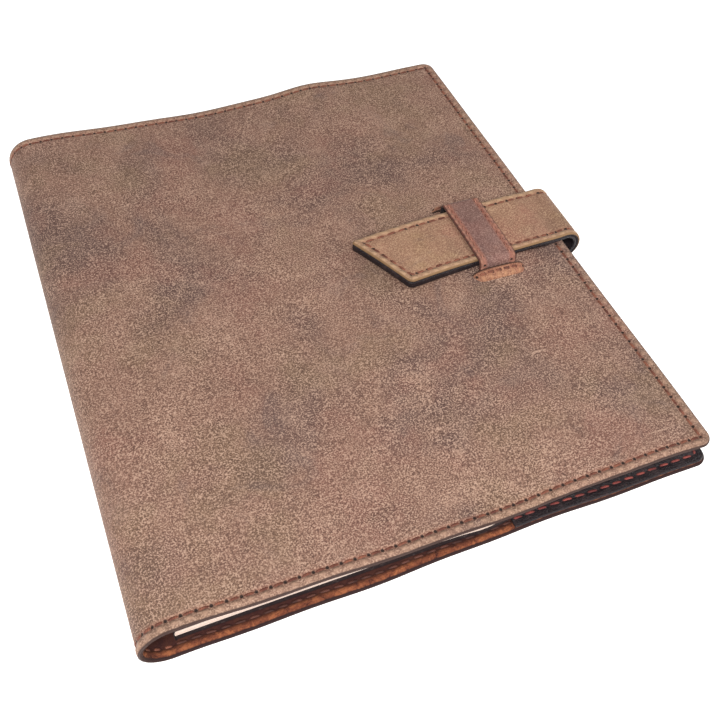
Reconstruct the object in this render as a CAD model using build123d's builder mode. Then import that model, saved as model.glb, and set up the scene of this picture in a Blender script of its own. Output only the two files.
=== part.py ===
"""Leather notebook cover that wraps a composition notebook, closed by a strap through a keeper.

The cover lies shut on its back. +Z is up, X runs from the spine bend to the fore-edge and Y runs
along the height of the book. The origin is the middle of the flat face that it lies on.
All sizes are in millimetres.
"""
import os

from build123d import *

# ---- Driving sizes -------------------------------------------------------------------------
HEIGHT = 256.0                # cover, top edge to bottom edge
FLAT = 205.5                  # back cover, spine bend to fore-edge
LEATHER = 1.8                 # main hide
SPINE_HEIGHT = 23.0           # outside of the spine bend
CORNER_RADIUS = 5.0           # fore-edge corners in plan

SPINE_X = -FLAT / 2           # axis of the spine bend
FORE_X = FLAT / 2             # fore-edge of the back cover
FRONT_OVERHANG = 0.8          # front cover past the back cover at the fore-edge
HALF = HEIGHT / 2

# Outer face of the closed front cover: flat over the spine, down to a waist, up over the
# pocket and down again to the fore-edge.
POCKET_EDGE_X = SPINE_X + 125.0
POCKET_EDGE_Z = 16.6
FRONT_CURVE = [
    (SPINE_X, SPINE_HEIGHT),
    (SPINE_X + 34.0, 20.6),
    (SPINE_X + 80.0, 16.3),
    (POCKET_EDGE_X, POCKET_EDGE_Z),
    (SPINE_X + 178.0, 16.3),
    (FORE_X + FRONT_OVERHANG, 14.6),
]

# ---- Spine bend ------------------------------------------------------------------------------
SPINE_OUTER = SPINE_HEIGHT / 2
SPINE_INNER = SPINE_OUTER - LEATHER
SPINE_CENTRE = (SPINE_X, SPINE_OUTER)
BEND_STEP = 45.0              # turn of one flexing strip
BEND_CUT = 0.8                # angle left free at each end of a strip

# ---- Seams -----------------------------------------------------------------------------------
SEAM_INSET = 4.0              # stitch line to the cut edge
THREAD_WIDTH = 0.8
THREAD_RISE = 0.3             # thread above the leather

# ---- Pockets ---------------------------------------------------------------------------------
POCKET_LEATHER = 1.2
POCKET_INSET = 0.8            # pocket edge inside the cover edge
POCKET_MARGIN = 4.6           # sewn rim of the pocket
BACK_POCKET_GAP = 0.9
FRONT_POCKET_GAP = 1.9
POCKET_ROW_INSET = 3.0        # stitch row to the pocket's free edge

# ---- Notebook --------------------------------------------------------------------------------
BOOK_HEIGHT = 245.5
BOOK_SPINE_X = SPINE_X + 1.1
BOOK_FORE_X = BOOK_SPINE_X + 188.0
CARD = 0.5
LEAVES = 5.4                  # thickness of the leaf block
BINDING = 0.5
CLIMB_START = POCKET_EDGE_X - 12.0    # the leaves climb over the back pocket from here
CLIMB_END = POCKET_EDGE_X - 2.0

# ---- Strap -----------------------------------------------------------------------------------
STRAP_WIDTH = 31.5
STRAP_OUTER_LEATHER = 1.7
STRAP_LINING = 1.5
STRAP_CLEARANCE = 0.6         # strap above the front cover, over the stitches
STRAP_Y = 1.0                 # middle of the strap at the fore-edge
STRAP_BEND_X = FORE_X + 1.8
STRAP_BEND_INNER = 4.9
STRAP_BEND_MIDDLE = STRAP_BEND_INNER + STRAP_LINING
STRAP_BEND_OUTER = STRAP_BEND_MIDDLE + STRAP_OUTER_LEATHER
STRAP_BEND_Z = FRONT_CURVE[-1][1] + STRAP_CLEARANCE - STRAP_BEND_INNER
STRAP_CENTRE = (STRAP_BEND_X, STRAP_BEND_Z)
STRAP_ROOT_LENGTH = 13.0
STRAP_ROOT_THICKNESS = 1.4    # skived end inside the seam
TIP_FAR = (SPINE_X + 116.0, 12.6)
TIP_NEAR = (SPINE_X + 130.6, -18.5)
TIP_RADIUS = 1.5
STRAP_SEAM_INSET = 3.2

# ---- Keeper ----------------------------------------------------------------------------------
KEEPER_X = SPINE_X + 170.0
KEEPER_Y = -1.0
KEEPER_WIDTH = 17.0
KEEPER_LEATHER = 1.4
KEEPER_SPAN = 37.6            # clear width for the strap
KEEPER_HEADROOM = 4.5         # underside of the band above the front cover
KEEPER_FOOT = 6.0             # turned end under the front cover
KEEPER_FOOT_LEATHER = 1.2
SLIT_CLEARANCE = 0.1
TACK_LENGTH = 20.0
TACK_OFFSET = 3.0             # tack row beyond the slit

CUT_MARGIN = 1.0              # a cutting shape reaches this far past what it cuts


# ---- Shared outlines -------------------------------------------------------------------------
def front_band(low, high, reach=0.0):
    """Face between two heights above the front curve, lengthened level past the fore-edge."""
    with BuildSketch(mode=Mode.PRIVATE) as band:
        with BuildLine():
            upper = Spline(*[(x, z + high) for x, z in FRONT_CURVE], tangents=((1, 0), (1, 0)))
            lower = Spline(*[(x, z + low) for x, z in FRONT_CURVE], tangents=((1, 0), (1, 0)))
            Line(upper @ 0, lower @ 0)
            if reach > 0:
                top = Line(upper @ 1, upper @ 1 + Vector(reach, 0))
                bottom = Line(lower @ 1, lower @ 1 + Vector(reach, 0))
                Line(top @ 1, bottom @ 1)
            else:
                Line(upper @ 1, lower @ 1)
        make_face()
    return band.sketch


def bend_sector(centre, inner, outer, first, last):
    """Face of a bent sheet between two radii and two angles, in degrees from +X."""
    with BuildSketch(mode=Mode.PRIVATE) as sector:
        with BuildLine():
            outside = CenterArc(centre, outer, first, last - first)
            inside = CenterArc(centre, inner, first, last - first)
            Line(outside @ 0, inside @ 0)
            Line(outside @ 1, inside @ 1)
        make_face()
    return sector.sketch


def cover_outline(inset=0.0, left=SPINE_X - SPINE_HEIGHT, overhang=0.0):
    """Plan of a cover inside its cut edge, with rounded fore-edge corners."""
    right = FORE_X + overhang - inset
    with BuildSketch(mode=Mode.PRIVATE) as plan:
        with Locations(((left + right) / 2, 0)):
            Rectangle(right - left, HEIGHT - 2 * inset)
        fillet(plan.vertices().group_by(Axis.X)[-1], radius=max(CORNER_RADIUS - inset, 1.0))
    return plan.sketch


def seam_band(inset, left, overhang=0.0):
    """Plan of a thread along both ends and the fore-edge of a cover, open towards the spine."""
    right = FORE_X + overhang - inset - THREAD_WIDTH / 2
    start = left - CUT_MARGIN
    with BuildSketch(mode=Mode.PRIVATE) as band:
        add(cover_outline(inset - THREAD_WIDTH / 2, left, overhang))
        with Locations(((start + right) / 2, 0)):
            Rectangle(right - start, HEIGHT - 2 * inset - THREAD_WIDTH, mode=Mode.SUBTRACT)
    return band.sketch


def card_ramp():
    """Face of the notebook's front card between its fold and the pocket."""
    pocket_z = POCKET_EDGE_Z + CARD_DROP
    with BuildSketch(mode=Mode.PRIVATE) as ramp:
        with BuildLine():
            Polyline(
                (BOOK_SPINE_X, CARD_LOW),
                (CARD_BEND_X, CARD_LOW),
                (POCKET_EDGE_X, pocket_z),
                (POCKET_EDGE_X, pocket_z + CARD),
                (CARD_BEND_X, CARD_LOW + CARD),
                (BOOK_SPINE_X, CARD_LOW + CARD),
                close=True,
            )
        make_face()
    return ramp.sketch


def finish(part, name):
    """Name a piece and write it."""
    part.label = name
    export_step(part, f"parts/{name}.step")


os.makedirs("parts", exist_ok=True)
LOW = -CUT_MARGIN             # below every plan cut
TALL = SPINE_HEIGHT + 10.0    # height of a cut through the whole cover

# ---- Back cover --------------------------------------------------------------------------------
with BuildPart() as back_panel:
    with BuildSketch(Plane.XY):
        add(cover_outline(left=SPINE_X))
    extrude(amount=LEATHER)
    with BuildSketch(Plane.XZ):
        add(bend_sector(SPINE_CENTRE, SPINE_INNER, SPINE_OUTER, 270.0, 270.0 - BEND_STEP / 2 + BEND_CUT))
    extrude(amount=HALF, both=True)
finish(back_panel.part, "back_panel")

# ---- Spine: three strips of the same hide that flex one after another ---------------------------
for number in range(1, 4):
    low_angle = 270.0 - BEND_STEP * (number - 0.5) - BEND_CUT
    high_angle = 270.0 - BEND_STEP * (number + 0.5) + BEND_CUT
    with BuildPart() as spine_strip:
        with BuildSketch(Plane.XZ):
            add(bend_sector(SPINE_CENTRE, SPINE_INNER, SPINE_OUTER, low_angle, high_angle))
        extrude(amount=HALF, both=True)
    finish(spine_strip.part, f"spine_strip_{number}")
    with BuildPart() as spine_thread:
        for side in (-1, 1):
            with BuildSketch(Plane.XZ.offset(side * (HALF - SEAM_INSET))):
                add(bend_sector(SPINE_CENTRE, SPINE_OUTER, SPINE_OUTER + THREAD_RISE, low_angle, high_angle))
            extrude(amount=THREAD_WIDTH / 2, both=True)
    finish(spine_thread.part, f"spine_thread_{number}")

# ---- Front cover, with two slits for the keeper --------------------------------------------------
SLIT_OFFSET = KEEPER_SPAN / 2 + KEEPER_LEATHER / 2
with BuildPart() as front_panel:
    with BuildSketch(Plane.XZ):
        add(front_band(-LEATHER, 0.0))
        add(bend_sector(SPINE_CENTRE, SPINE_INNER, SPINE_OUTER, 90.0, 90.0 + BEND_STEP / 2 - BEND_CUT))
    extrude(amount=HALF, both=True)
    with BuildSketch(Plane.XY.offset(LOW)):
        add(cover_outline(overhang=FRONT_OVERHANG))
    extrude(amount=TALL, mode=Mode.INTERSECT)
    with BuildSketch(Plane.XY.offset(LOW)):
        with Locations(*[(KEEPER_X, KEEPER_Y + side * SLIT_OFFSET) for side in (-1, 1)]):
            Rectangle(KEEPER_WIDTH + 2 * SLIT_CLEARANCE, KEEPER_LEATHER + 2 * SLIT_CLEARANCE)
    extrude(amount=TALL, mode=Mode.SUBTRACT)
finish(front_panel.part, "front_panel")

# ---- Back pocket: a lining sheet sewn to the fore-edge third of the back cover --------------------
BACK_POCKET_TOP = LEATHER + BACK_POCKET_GAP + POCKET_LEATHER
ROOT_LEFT = FORE_X - STRAP_ROOT_LENGTH
ROOT_TOP = LEATHER + STRAP_ROOT_THICKNESS
BUMP_RIM = 1.5                # pocket leather beside the strap root
with BuildPart() as back_pocket:
    with BuildSketch(Plane.XY.offset(LEATHER)):
        add(cover_outline(POCKET_INSET, POCKET_EDGE_X))
    extrude(amount=BACK_POCKET_TOP - LEATHER)
    with BuildSketch(Plane.XY.offset(LEATHER)):
        with Locations(((ROOT_LEFT - BUMP_RIM + FORE_X - POCKET_INSET) / 2, STRAP_Y)):
            Rectangle(FORE_X - POCKET_INSET - ROOT_LEFT + BUMP_RIM, STRAP_WIDTH + 2 * BUMP_RIM)
    extrude(amount=STRAP_ROOT_THICKNESS + POCKET_LEATHER)
    with BuildSketch(Plane.XY.offset(LEATHER)):
        mouth_right = ROOT_LEFT - BUMP_RIM
        with Locations(((POCKET_EDGE_X + mouth_right) / 2, 0)):
            Rectangle(mouth_right - POCKET_EDGE_X, HEIGHT - 2 * POCKET_MARGIN)
    extrude(amount=BACK_POCKET_GAP, mode=Mode.SUBTRACT)
    with BuildSketch(Plane.XY.offset(LEATHER)):
        with Locations(((ROOT_LEFT + FORE_X) / 2, STRAP_Y)):
            Rectangle(STRAP_ROOT_LENGTH, STRAP_WIDTH)
    extrude(amount=STRAP_ROOT_THICKNESS, mode=Mode.SUBTRACT)
finish(back_pocket.part, "back_pocket")

# ---- Front pocket: the same sheet under the front cover -------------------------------------------
FRONT_POCKET_LOW = -LEATHER - FRONT_POCKET_GAP - POCKET_LEATHER
with BuildPart() as pocket_mouth:
    with BuildSketch(Plane.XZ):
        add(front_band(-LEATHER - FRONT_POCKET_GAP, -LEATHER))
    extrude(amount=HALF - POCKET_MARGIN, both=True)
    with BuildSketch(Plane.XY.offset(LOW)):
        with Locations(((POCKET_EDGE_X + FORE_X) / 2 - POCKET_MARGIN, 0)):
            Rectangle(FORE_X - POCKET_EDGE_X, HEIGHT)
    extrude(amount=TALL, mode=Mode.INTERSECT)

with BuildPart() as front_pocket:
    with BuildSketch(Plane.XZ):
        add(front_band(FRONT_POCKET_LOW, -LEATHER))
    extrude(amount=HALF, both=True)
    with BuildSketch(Plane.XY.offset(LOW)):
        add(cover_outline(POCKET_INSET, POCKET_EDGE_X, FRONT_OVERHANG))
    extrude(amount=TALL, mode=Mode.INTERSECT)
    add(pocket_mouth.part, mode=Mode.SUBTRACT)
finish(front_pocket.part, "front_pocket")

# ---- Seam threads ----------------------------------------------------------------------------------
with BuildPart() as front_edge_thread:
    with BuildSketch(Plane.XZ):
        add(front_band(0.0, THREAD_RISE))
    extrude(amount=HALF, both=True)
    with BuildSketch(Plane.XY.offset(LOW)):
        add(seam_band(SEAM_INSET, SPINE_X, FRONT_OVERHANG))
    extrude(amount=TALL, mode=Mode.INTERSECT)
finish(front_edge_thread.part, "front_edge_thread")

with BuildPart() as back_edge_thread:
    with BuildSketch(Plane.XY.offset(LEATHER)):
        rows = [((SPINE_X + POCKET_EDGE_X) / 2, side * (HALF - SEAM_INSET)) for side in (-1, 1)]
        with Locations(*rows):
            Rectangle(POCKET_EDGE_X - SPINE_X, THREAD_WIDTH)
    extrude(amount=THREAD_RISE)
finish(back_edge_thread.part, "back_edge_thread")

with BuildPart() as back_pocket_thread:
    with BuildSketch(Plane.XY.offset(BACK_POCKET_TOP)):
        with Locations(*[((ROOT_LEFT - BUMP_RIM + POCKET_EDGE_X) / 2, side * (HALF - SEAM_INSET))
                         for side in (-1, 1)]):
            Rectangle(ROOT_LEFT - BUMP_RIM - POCKET_EDGE_X, THREAD_WIDTH)
        with Locations((POCKET_EDGE_X + POCKET_ROW_INSET, 0)):
            Rectangle(THREAD_WIDTH, HEIGHT - 2 * SEAM_INSET)
    extrude(amount=THREAD_RISE)
finish(back_pocket_thread.part, "back_pocket_thread")

with BuildPart() as front_pocket_thread:
    with BuildSketch(Plane.XZ):
        add(front_band(FRONT_POCKET_LOW - THREAD_RISE, FRONT_POCKET_LOW))
    extrude(amount=HALF - SEAM_INSET, both=True)
    with BuildSketch(Plane.XY.offset(LOW)):
        with Locations((POCKET_EDGE_X + POCKET_ROW_INSET, 0)):
            Rectangle(THREAD_WIDTH, HEIGHT)
    extrude(amount=TALL, mode=Mode.INTERSECT)
finish(front_pocket_thread.part, "front_pocket_thread")

# ---- Notebook ---------------------------------------------------------------------------------------
LEAF_LOW = LEATHER + CARD
LEAF_CLEARANCE = 0.2
LEAF_STEP = ROOT_TOP + POCKET_LEATHER + LEAF_CLEARANCE - LEAF_LOW    # climb over the back pocket
with BuildPart() as notebook_back_card:
    with BuildSketch(Plane.XY.offset(LEATHER)):
        with Locations(((BOOK_SPINE_X + BOOK_FORE_X) / 2, 0)):
            Rectangle(BOOK_FORE_X - BOOK_SPINE_X, BOOK_HEIGHT)
    extrude(amount=CARD)
finish(notebook_back_card.part, "notebook_back_card")

with BuildPart() as notebook_leaves:
    with BuildSketch(Plane.XZ):
        with BuildLine():
            Polyline(
                (BOOK_SPINE_X, LEAF_LOW),
                (CLIMB_START, LEAF_LOW),
                (CLIMB_END, LEAF_LOW + LEAF_STEP),
                (BOOK_FORE_X, LEAF_LOW + LEAF_STEP),
                (BOOK_FORE_X, LEAF_LOW + LEAF_STEP + LEAVES),
                (CLIMB_END, LEAF_LOW + LEAF_STEP + LEAVES),
                (CLIMB_START, LEAF_LOW + LEAVES),
                (BOOK_SPINE_X, LEAF_LOW + LEAVES),
                close=True,
            )
        make_face()
    extrude(amount=BOOK_HEIGHT / 2, both=True)
finish(notebook_leaves.part, "notebook_leaves")

with BuildPart() as notebook_binding:
    with BuildSketch(Plane.XZ):
        with BuildLine():
            Polyline(
                (BOOK_SPINE_X - BINDING, LEATHER),
                (BOOK_SPINE_X, LEATHER),
                (BOOK_SPINE_X, LEAF_LOW + LEAVES),
                (BOOK_SPINE_X - BINDING, LEAF_LOW + LEAVES),
                close=True,
            )
        make_face()
    extrude(amount=BOOK_HEIGHT / 2, both=True)
finish(notebook_binding.part, "notebook_binding")

# The front card rests on the leaves near the spine and rises into the front pocket.
CARD_DROP = -LEATHER - FRONT_POCKET_GAP + 0.1
CARD_LOW = LEAF_LOW + LEAVES + 0.3
CARD_BEND_X = SPINE_X + 85.0
with BuildPart() as notebook_front_card:
    with BuildSketch(Plane.XZ):
        add(front_band(CARD_DROP, CARD_DROP + CARD))
        with Locations(((POCKET_EDGE_X + BOOK_FORE_X) / 2, SPINE_OUTER)):
            Rectangle(BOOK_FORE_X - POCKET_EDGE_X, SPINE_HEIGHT, mode=Mode.INTERSECT)
        add(card_ramp())
    extrude(amount=BOOK_HEIGHT / 2, both=True)
finish(notebook_front_card.part, "notebook_front_card")

# ---- Strap: root in the seam, three flexing links round the fore-edge, and the tongue ------------------
STRAP_PLANE = Plane.XZ.offset(-STRAP_Y)
with BuildPart() as strap_root:
    with BuildSketch(Plane.XY.offset(LEATHER)):
        with Locations(((ROOT_LEFT + STRAP_BEND_X) / 2, STRAP_Y)):
            Rectangle(STRAP_BEND_X - ROOT_LEFT, STRAP_WIDTH)
    extrude(amount=STRAP_ROOT_THICKNESS)
    with BuildSketch(STRAP_PLANE):
        add(bend_sector(STRAP_CENTRE, STRAP_BEND_INNER, STRAP_BEND_OUTER, -90.0, BEND_STEP / 2 - 90.0 - BEND_CUT))
    extrude(amount=STRAP_WIDTH / 2, both=True)
finish(strap_root.part, "strap_root")

LINK_CUT = 1.2
for number in range(1, 4):
    first = BEND_STEP * (number - 0.5) - 90.0 + LINK_CUT
    last = BEND_STEP * (number + 0.5) - 90.0 - LINK_CUT
    layers = {
        "lining": (STRAP_BEND_INNER, STRAP_BEND_MIDDLE),
        "outer": (STRAP_BEND_MIDDLE, STRAP_BEND_OUTER),
    }
    for layer, (inner, outer) in layers.items():
        with BuildPart() as strap_link:
            with BuildSketch(STRAP_PLANE):
                add(bend_sector(STRAP_CENTRE, inner, outer, first, last))
            extrude(amount=STRAP_WIDTH / 2, both=True)
        finish(strap_link.part, f"strap_link_{number}_{layer}")


def tongue_outline(inset):
    """Plan of the tongue, a slanted tip and two long edges that run on past the bend."""
    root_x = STRAP_BEND_X + STRAP_BEND_OUTER + CUT_MARGIN
    with BuildSketch(mode=Mode.PRIVATE) as plan:
        with BuildLine():
            Polyline(
                (root_x, STRAP_Y + STRAP_WIDTH / 2),
                (STRAP_BEND_X, STRAP_Y + STRAP_WIDTH / 2),
                TIP_FAR,
                TIP_NEAR,
                (STRAP_BEND_X, STRAP_Y - STRAP_WIDTH / 2),
                (root_x, STRAP_Y - STRAP_WIDTH / 2),
                close=True,
            )
        make_face()
        if inset > 0:
            offset(amount=-inset, kind=Kind.INTERSECTION, mode=Mode.REPLACE)
        else:
            fillet(plan.vertices().sort_by_distance((*TIP_FAR, 0))[:1], radius=TIP_RADIUS)
            fillet(plan.vertices().sort_by_distance((*TIP_NEAR, 0))[:1], radius=TIP_RADIUS)
    return plan.sketch


LINING_LOW = STRAP_CLEARANCE
LINING_HIGH = LINING_LOW + STRAP_LINING
OUTER_HIGH = LINING_HIGH + STRAP_OUTER_LEATHER
TONGUE_REACH = STRAP_BEND_X - FORE_X - FRONT_OVERHANG
tongue_layers = {
    "strap_tongue_lining": (LINING_LOW, LINING_HIGH, STRAP_BEND_INNER, STRAP_BEND_MIDDLE),
    "strap_tongue_outer": (LINING_HIGH, OUTER_HIGH, STRAP_BEND_MIDDLE, STRAP_BEND_OUTER),
}
for name, (low, high, inner, outer) in tongue_layers.items():
    with BuildPart() as tongue:
        with BuildSketch(Plane.XZ):
            add(front_band(low, high, TONGUE_REACH))
            add(bend_sector(STRAP_CENTRE, inner, outer, 90.0, 90.0 - BEND_STEP / 2 + LINK_CUT))
        extrude(amount=HALF, both=True)
        with BuildSketch(Plane.XY.offset(LOW)):
            add(tongue_outline(0.0))
        extrude(amount=TALL, mode=Mode.INTERSECT)
    finish(tongue.part, name)

with BuildPart() as strap_tongue_thread:
    with BuildSketch(Plane.XZ):
        add(front_band(OUTER_HIGH, OUTER_HIGH + THREAD_RISE))
    extrude(amount=HALF, both=True)
    with BuildSketch(Plane.XY.offset(LOW)):
        add(tongue_outline(STRAP_SEAM_INSET - THREAD_WIDTH / 2))
    extrude(amount=TALL, mode=Mode.INTERSECT)
    with BuildSketch(Plane.XY.offset(LOW)):
        add(tongue_outline(STRAP_SEAM_INSET + THREAD_WIDTH / 2))
    extrude(amount=TALL, mode=Mode.SUBTRACT)
finish(strap_tongue_thread.part, "strap_tongue_thread")

# ---- Keeper: a band over the strap whose ends go through the slits and turn outwards -------------------
with BuildPart() as keeper_band:
    with BuildSketch(Plane.XZ.offset(-KEEPER_Y)):
        add(front_band(-LEATHER - KEEPER_FOOT_LEATHER, KEEPER_HEADROOM + KEEPER_LEATHER))
    extrude(amount=KEEPER_SPAN / 2 + KEEPER_LEATHER, both=True)
    with BuildSketch(Plane.XZ.offset(-KEEPER_Y)):
        add(front_band(-LEATHER - KEEPER_FOOT_LEATHER, KEEPER_HEADROOM))
    extrude(amount=KEEPER_SPAN / 2, both=True, mode=Mode.SUBTRACT)
    with BuildSketch(Plane.XZ.offset(-KEEPER_Y)):
        add(front_band(-LEATHER - KEEPER_FOOT_LEATHER, -LEATHER))
    extrude(amount=KEEPER_SPAN / 2 + KEEPER_LEATHER + KEEPER_FOOT, both=True)
    with BuildSketch(Plane.XZ.offset(-KEEPER_Y)):
        add(front_band(-LEATHER - KEEPER_FOOT_LEATHER - CUT_MARGIN, -LEATHER))
    extrude(amount=KEEPER_SPAN / 2, both=True, mode=Mode.SUBTRACT)
    with BuildSketch(Plane.XY.offset(LOW)):
        with Locations((KEEPER_X, 0)):
            Rectangle(KEEPER_WIDTH, HEIGHT)
    extrude(amount=TALL, mode=Mode.INTERSECT)
finish(keeper_band.part, "keeper_band")

KEEPER_TOP = KEEPER_HEADROOM + KEEPER_LEATHER
KEEPER_ROW_INSET = 2.2
with BuildPart() as keeper_thread:
    with BuildSketch(Plane.XZ.offset(-KEEPER_Y)):
        add(front_band(KEEPER_TOP, KEEPER_TOP + THREAD_RISE))
    extrude(amount=KEEPER_SPAN / 2, both=True)
    with BuildSketch(Plane.XY.offset(LOW)):
        with Locations(*[(KEEPER_X + side * (KEEPER_WIDTH / 2 - KEEPER_ROW_INSET), 0) for side in (-1, 1)]):
            Rectangle(THREAD_WIDTH, HEIGHT)
    extrude(amount=TALL, mode=Mode.INTERSECT)
finish(keeper_thread.part, "keeper_thread")

TACK_Y = SLIT_OFFSET + TACK_OFFSET
for name, side in {"keeper_tack_near": -1, "keeper_tack_far": 1}.items():
    with BuildPart() as tack:
        with BuildSketch(Plane.XZ.offset(-KEEPER_Y - side * TACK_Y)):
            add(front_band(0.0, THREAD_RISE))
        extrude(amount=THREAD_WIDTH / 2, both=True)
        with BuildSketch(Plane.XY.offset(LOW)):
            with Locations((KEEPER_X, 0)):
                Rectangle(TACK_LENGTH, HEIGHT)
        extrude(amount=TALL, mode=Mode.INTERSECT)
    finish(tack.part, name)
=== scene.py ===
"""Looks of the leather notebook cover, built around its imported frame.

Lengths inside this file are millimetres until a mesh is written, which is in metres. The hide is one
sheet whose section runs from the back cover's fore-edge, round the spine bend and over the front
cover. Everything sewn to it is placed with the same surface, so that it follows every dip.
"""

import logging
import math
from dataclasses import dataclass, field
from enum import Enum
from typing import Callable, Sequence

import bpy
import numpy as np
from mathutils import Matrix, Vector

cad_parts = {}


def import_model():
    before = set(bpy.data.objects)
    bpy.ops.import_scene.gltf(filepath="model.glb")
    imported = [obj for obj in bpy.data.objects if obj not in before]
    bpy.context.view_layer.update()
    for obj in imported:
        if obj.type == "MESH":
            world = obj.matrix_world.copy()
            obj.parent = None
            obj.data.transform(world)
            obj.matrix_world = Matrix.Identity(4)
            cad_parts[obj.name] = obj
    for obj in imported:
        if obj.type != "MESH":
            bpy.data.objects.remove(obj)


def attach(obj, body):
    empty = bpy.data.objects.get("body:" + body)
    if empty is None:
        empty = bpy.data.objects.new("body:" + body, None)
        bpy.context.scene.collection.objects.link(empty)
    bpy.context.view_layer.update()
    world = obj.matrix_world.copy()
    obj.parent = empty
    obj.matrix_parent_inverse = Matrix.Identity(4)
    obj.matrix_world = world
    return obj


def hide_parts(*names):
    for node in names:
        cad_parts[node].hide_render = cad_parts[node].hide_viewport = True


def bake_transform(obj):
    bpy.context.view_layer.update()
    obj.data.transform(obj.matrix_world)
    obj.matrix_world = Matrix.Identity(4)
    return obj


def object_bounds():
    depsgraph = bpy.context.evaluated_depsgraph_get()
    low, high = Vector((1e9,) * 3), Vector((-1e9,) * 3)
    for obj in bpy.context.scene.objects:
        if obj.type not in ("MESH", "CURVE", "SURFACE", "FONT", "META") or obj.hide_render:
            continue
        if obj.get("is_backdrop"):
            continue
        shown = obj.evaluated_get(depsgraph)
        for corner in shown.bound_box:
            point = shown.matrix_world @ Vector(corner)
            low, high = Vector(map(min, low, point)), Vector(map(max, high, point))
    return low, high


LOG = logging.getLogger("cover")
MM = 0.001
SEED = 7

Array = np.ndarray
Place = Callable[[Array, Array, Array], Array]
Colour = tuple[float, float, float]

# ---- Sizes shared by several sub-assemblies -----------------------------------------------------
LEATHER = 1.8
HALF_HEIGHT = 128.0
SPINE_X = -102.75
FORE_X = 102.75
SPINE_HEIGHT = 23.0
BEND_RADIUS = SPINE_HEIGHT / 2
BEND_LENGTH = math.pi * BEND_RADIUS
CORNER_RADIUS = 5.0
FRONT_OVERHANG = 0.8
SEAM_INSET = 4.0
PITCH = 5.0
BEND_HOLES = 8
SEAM_LINE = HALF_HEIGHT - SEAM_INSET
SIDE_HOLES = 50
POCKET_EDGE_X = 22.25
STRAP_Y = 1.0
STRAP_WIDTH = 31.5
STRAP_LIFT = 0.6
STRAP_LAYERS = (1.5, 1.7)
KEEPER_X = 67.25
KEEPER_Y = -1.0
KEEPER_WIDTH = 17.0
FOLDS = 4
NO_RIMS = (False, False, False, False)
ALL_RIMS = (True, True, True, True)
RIM_LINES = (0.0, 0.08, 0.22, 0.42, 0.68, 1.05, 1.6, 2.2, 2.7, 3.1, 3.45, 3.75, 4.0, 4.3, 4.7, 5.2,
             6.0, 7.2)


class Side(Enum):
    """Which cover a piece belongs to."""

    BACK = "back"
    FRONT = "front"


class Layer(Enum):
    """The two leathers of the strap."""

    LINING = "lining"
    OUTER = "outer"


# ---- Numbers ------------------------------------------------------------------------------------
def ease(x: Array, low: float, high: float) -> Array:
    """Smooth step from 0 at low to 1 at high: t squared times (3 minus 2t).

    Args:
        x: Where to evaluate it.
        low: Where the step starts.
        high: Where the step ends.

    Returns:
        The step's height at each x.
    """
    t = np.clip((x - low) / (high - low), 0.0, 1.0)
    return t * t * (3.0 - 2.0 * t)


def bump_at(x: Array, centre: float, width: float) -> Array:
    """Bell curve of height 1: e to the minus ((x - centre) / width) squared."""
    return np.exp(-(((x - centre) / width) ** 2))


def clamped_spline(knots: Sequence[tuple[float, float]], x: Array) -> Array:
    """Cubic spline through the knots with level ends.

    The knots' second derivatives solve the usual tridiagonal system, with both end slopes zero, and
    each span is the cubic that they give.

    Args:
        knots: Points (x, z) in rising x.
        x: Where to evaluate it.

    Returns:
        The spline's height at each x.
    """
    kx, kz = np.array(knots, float).T
    h = np.diff(kx)
    slope = np.diff(kz) / h
    size = len(kx)
    a = np.zeros((size, size))
    b = np.zeros(size)
    a[0, :2] = 2.0 * h[0], h[0]
    b[0] = 6.0 * slope[0]
    a[-1, -2:] = h[-1], 2.0 * h[-1]
    b[-1] = -6.0 * slope[-1]
    inner = np.arange(1, size - 1)
    a[inner, inner - 1] = h[:-1]
    a[inner, inner] = 2.0 * (h[:-1] + h[1:])
    a[inner, inner + 1] = h[1:]
    b[inner] = 6.0 * np.diff(slope)
    m = np.linalg.solve(a, b)
    i = np.clip(np.searchsorted(kx, x) - 1, 0, size - 2)
    left, right = x - kx[i], kx[i + 1] - x
    return ((m[i] * right**3 + m[i + 1] * left**3) / (6.0 * h[i])
            + (kz[i] / h[i] - m[i] * h[i] / 6.0) * right
            + (kz[i + 1] / h[i] - m[i + 1] * h[i] / 6.0) * left)


def graded(low: float, high: float, step: float, rim_low: bool, rim_high: bool) -> Array:
    """Grid lines from low to high, crowded at the ends that are a real edge of the leather.

    Args:
        low: First line.
        high: Last line.
        step: Largest spacing in the middle.
        rim_low: Crowd the lines at low.
        rim_high: Crowd the lines at high.

    Returns:
        The lines in rising order.
    """
    rim = np.array(RIM_LINES)
    span = high - low
    rim = rim[rim < 0.45 * span]
    first = low + rim if rim_low else np.array([low])
    last = high - rim[::-1] if rim_high else np.array([high])
    count = max(2, math.ceil((last[0] - first[-1]) / step) + 1)
    middle = np.linspace(first[-1], last[0], count)[1:-1]
    return np.concatenate([first, middle, last])


def swell(x: Array, y: Array) -> Array:
    """Slow unevenness of soft hide: a sum of five long waves, about 1 at most.

    Args:
        x: First coordinate, in millimetres.
        y: Second coordinate.

    Returns:
        The height of the waves.
    """
    waves = ((0.043, 0.017, 0.4, 0.32), (-0.021, 0.052, 1.9, 0.28), (0.071, -0.037, 4.1, 0.18),
             (0.015, 0.094, 2.7, 0.14), (-0.102, -0.061, 5.2, 0.08))
    total = np.zeros(np.broadcast(x, y).shape)
    for kx, ky, phase, height in waves:
        total = total + height * np.sin(kx * x + ky * y + phase)
    return total


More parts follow.
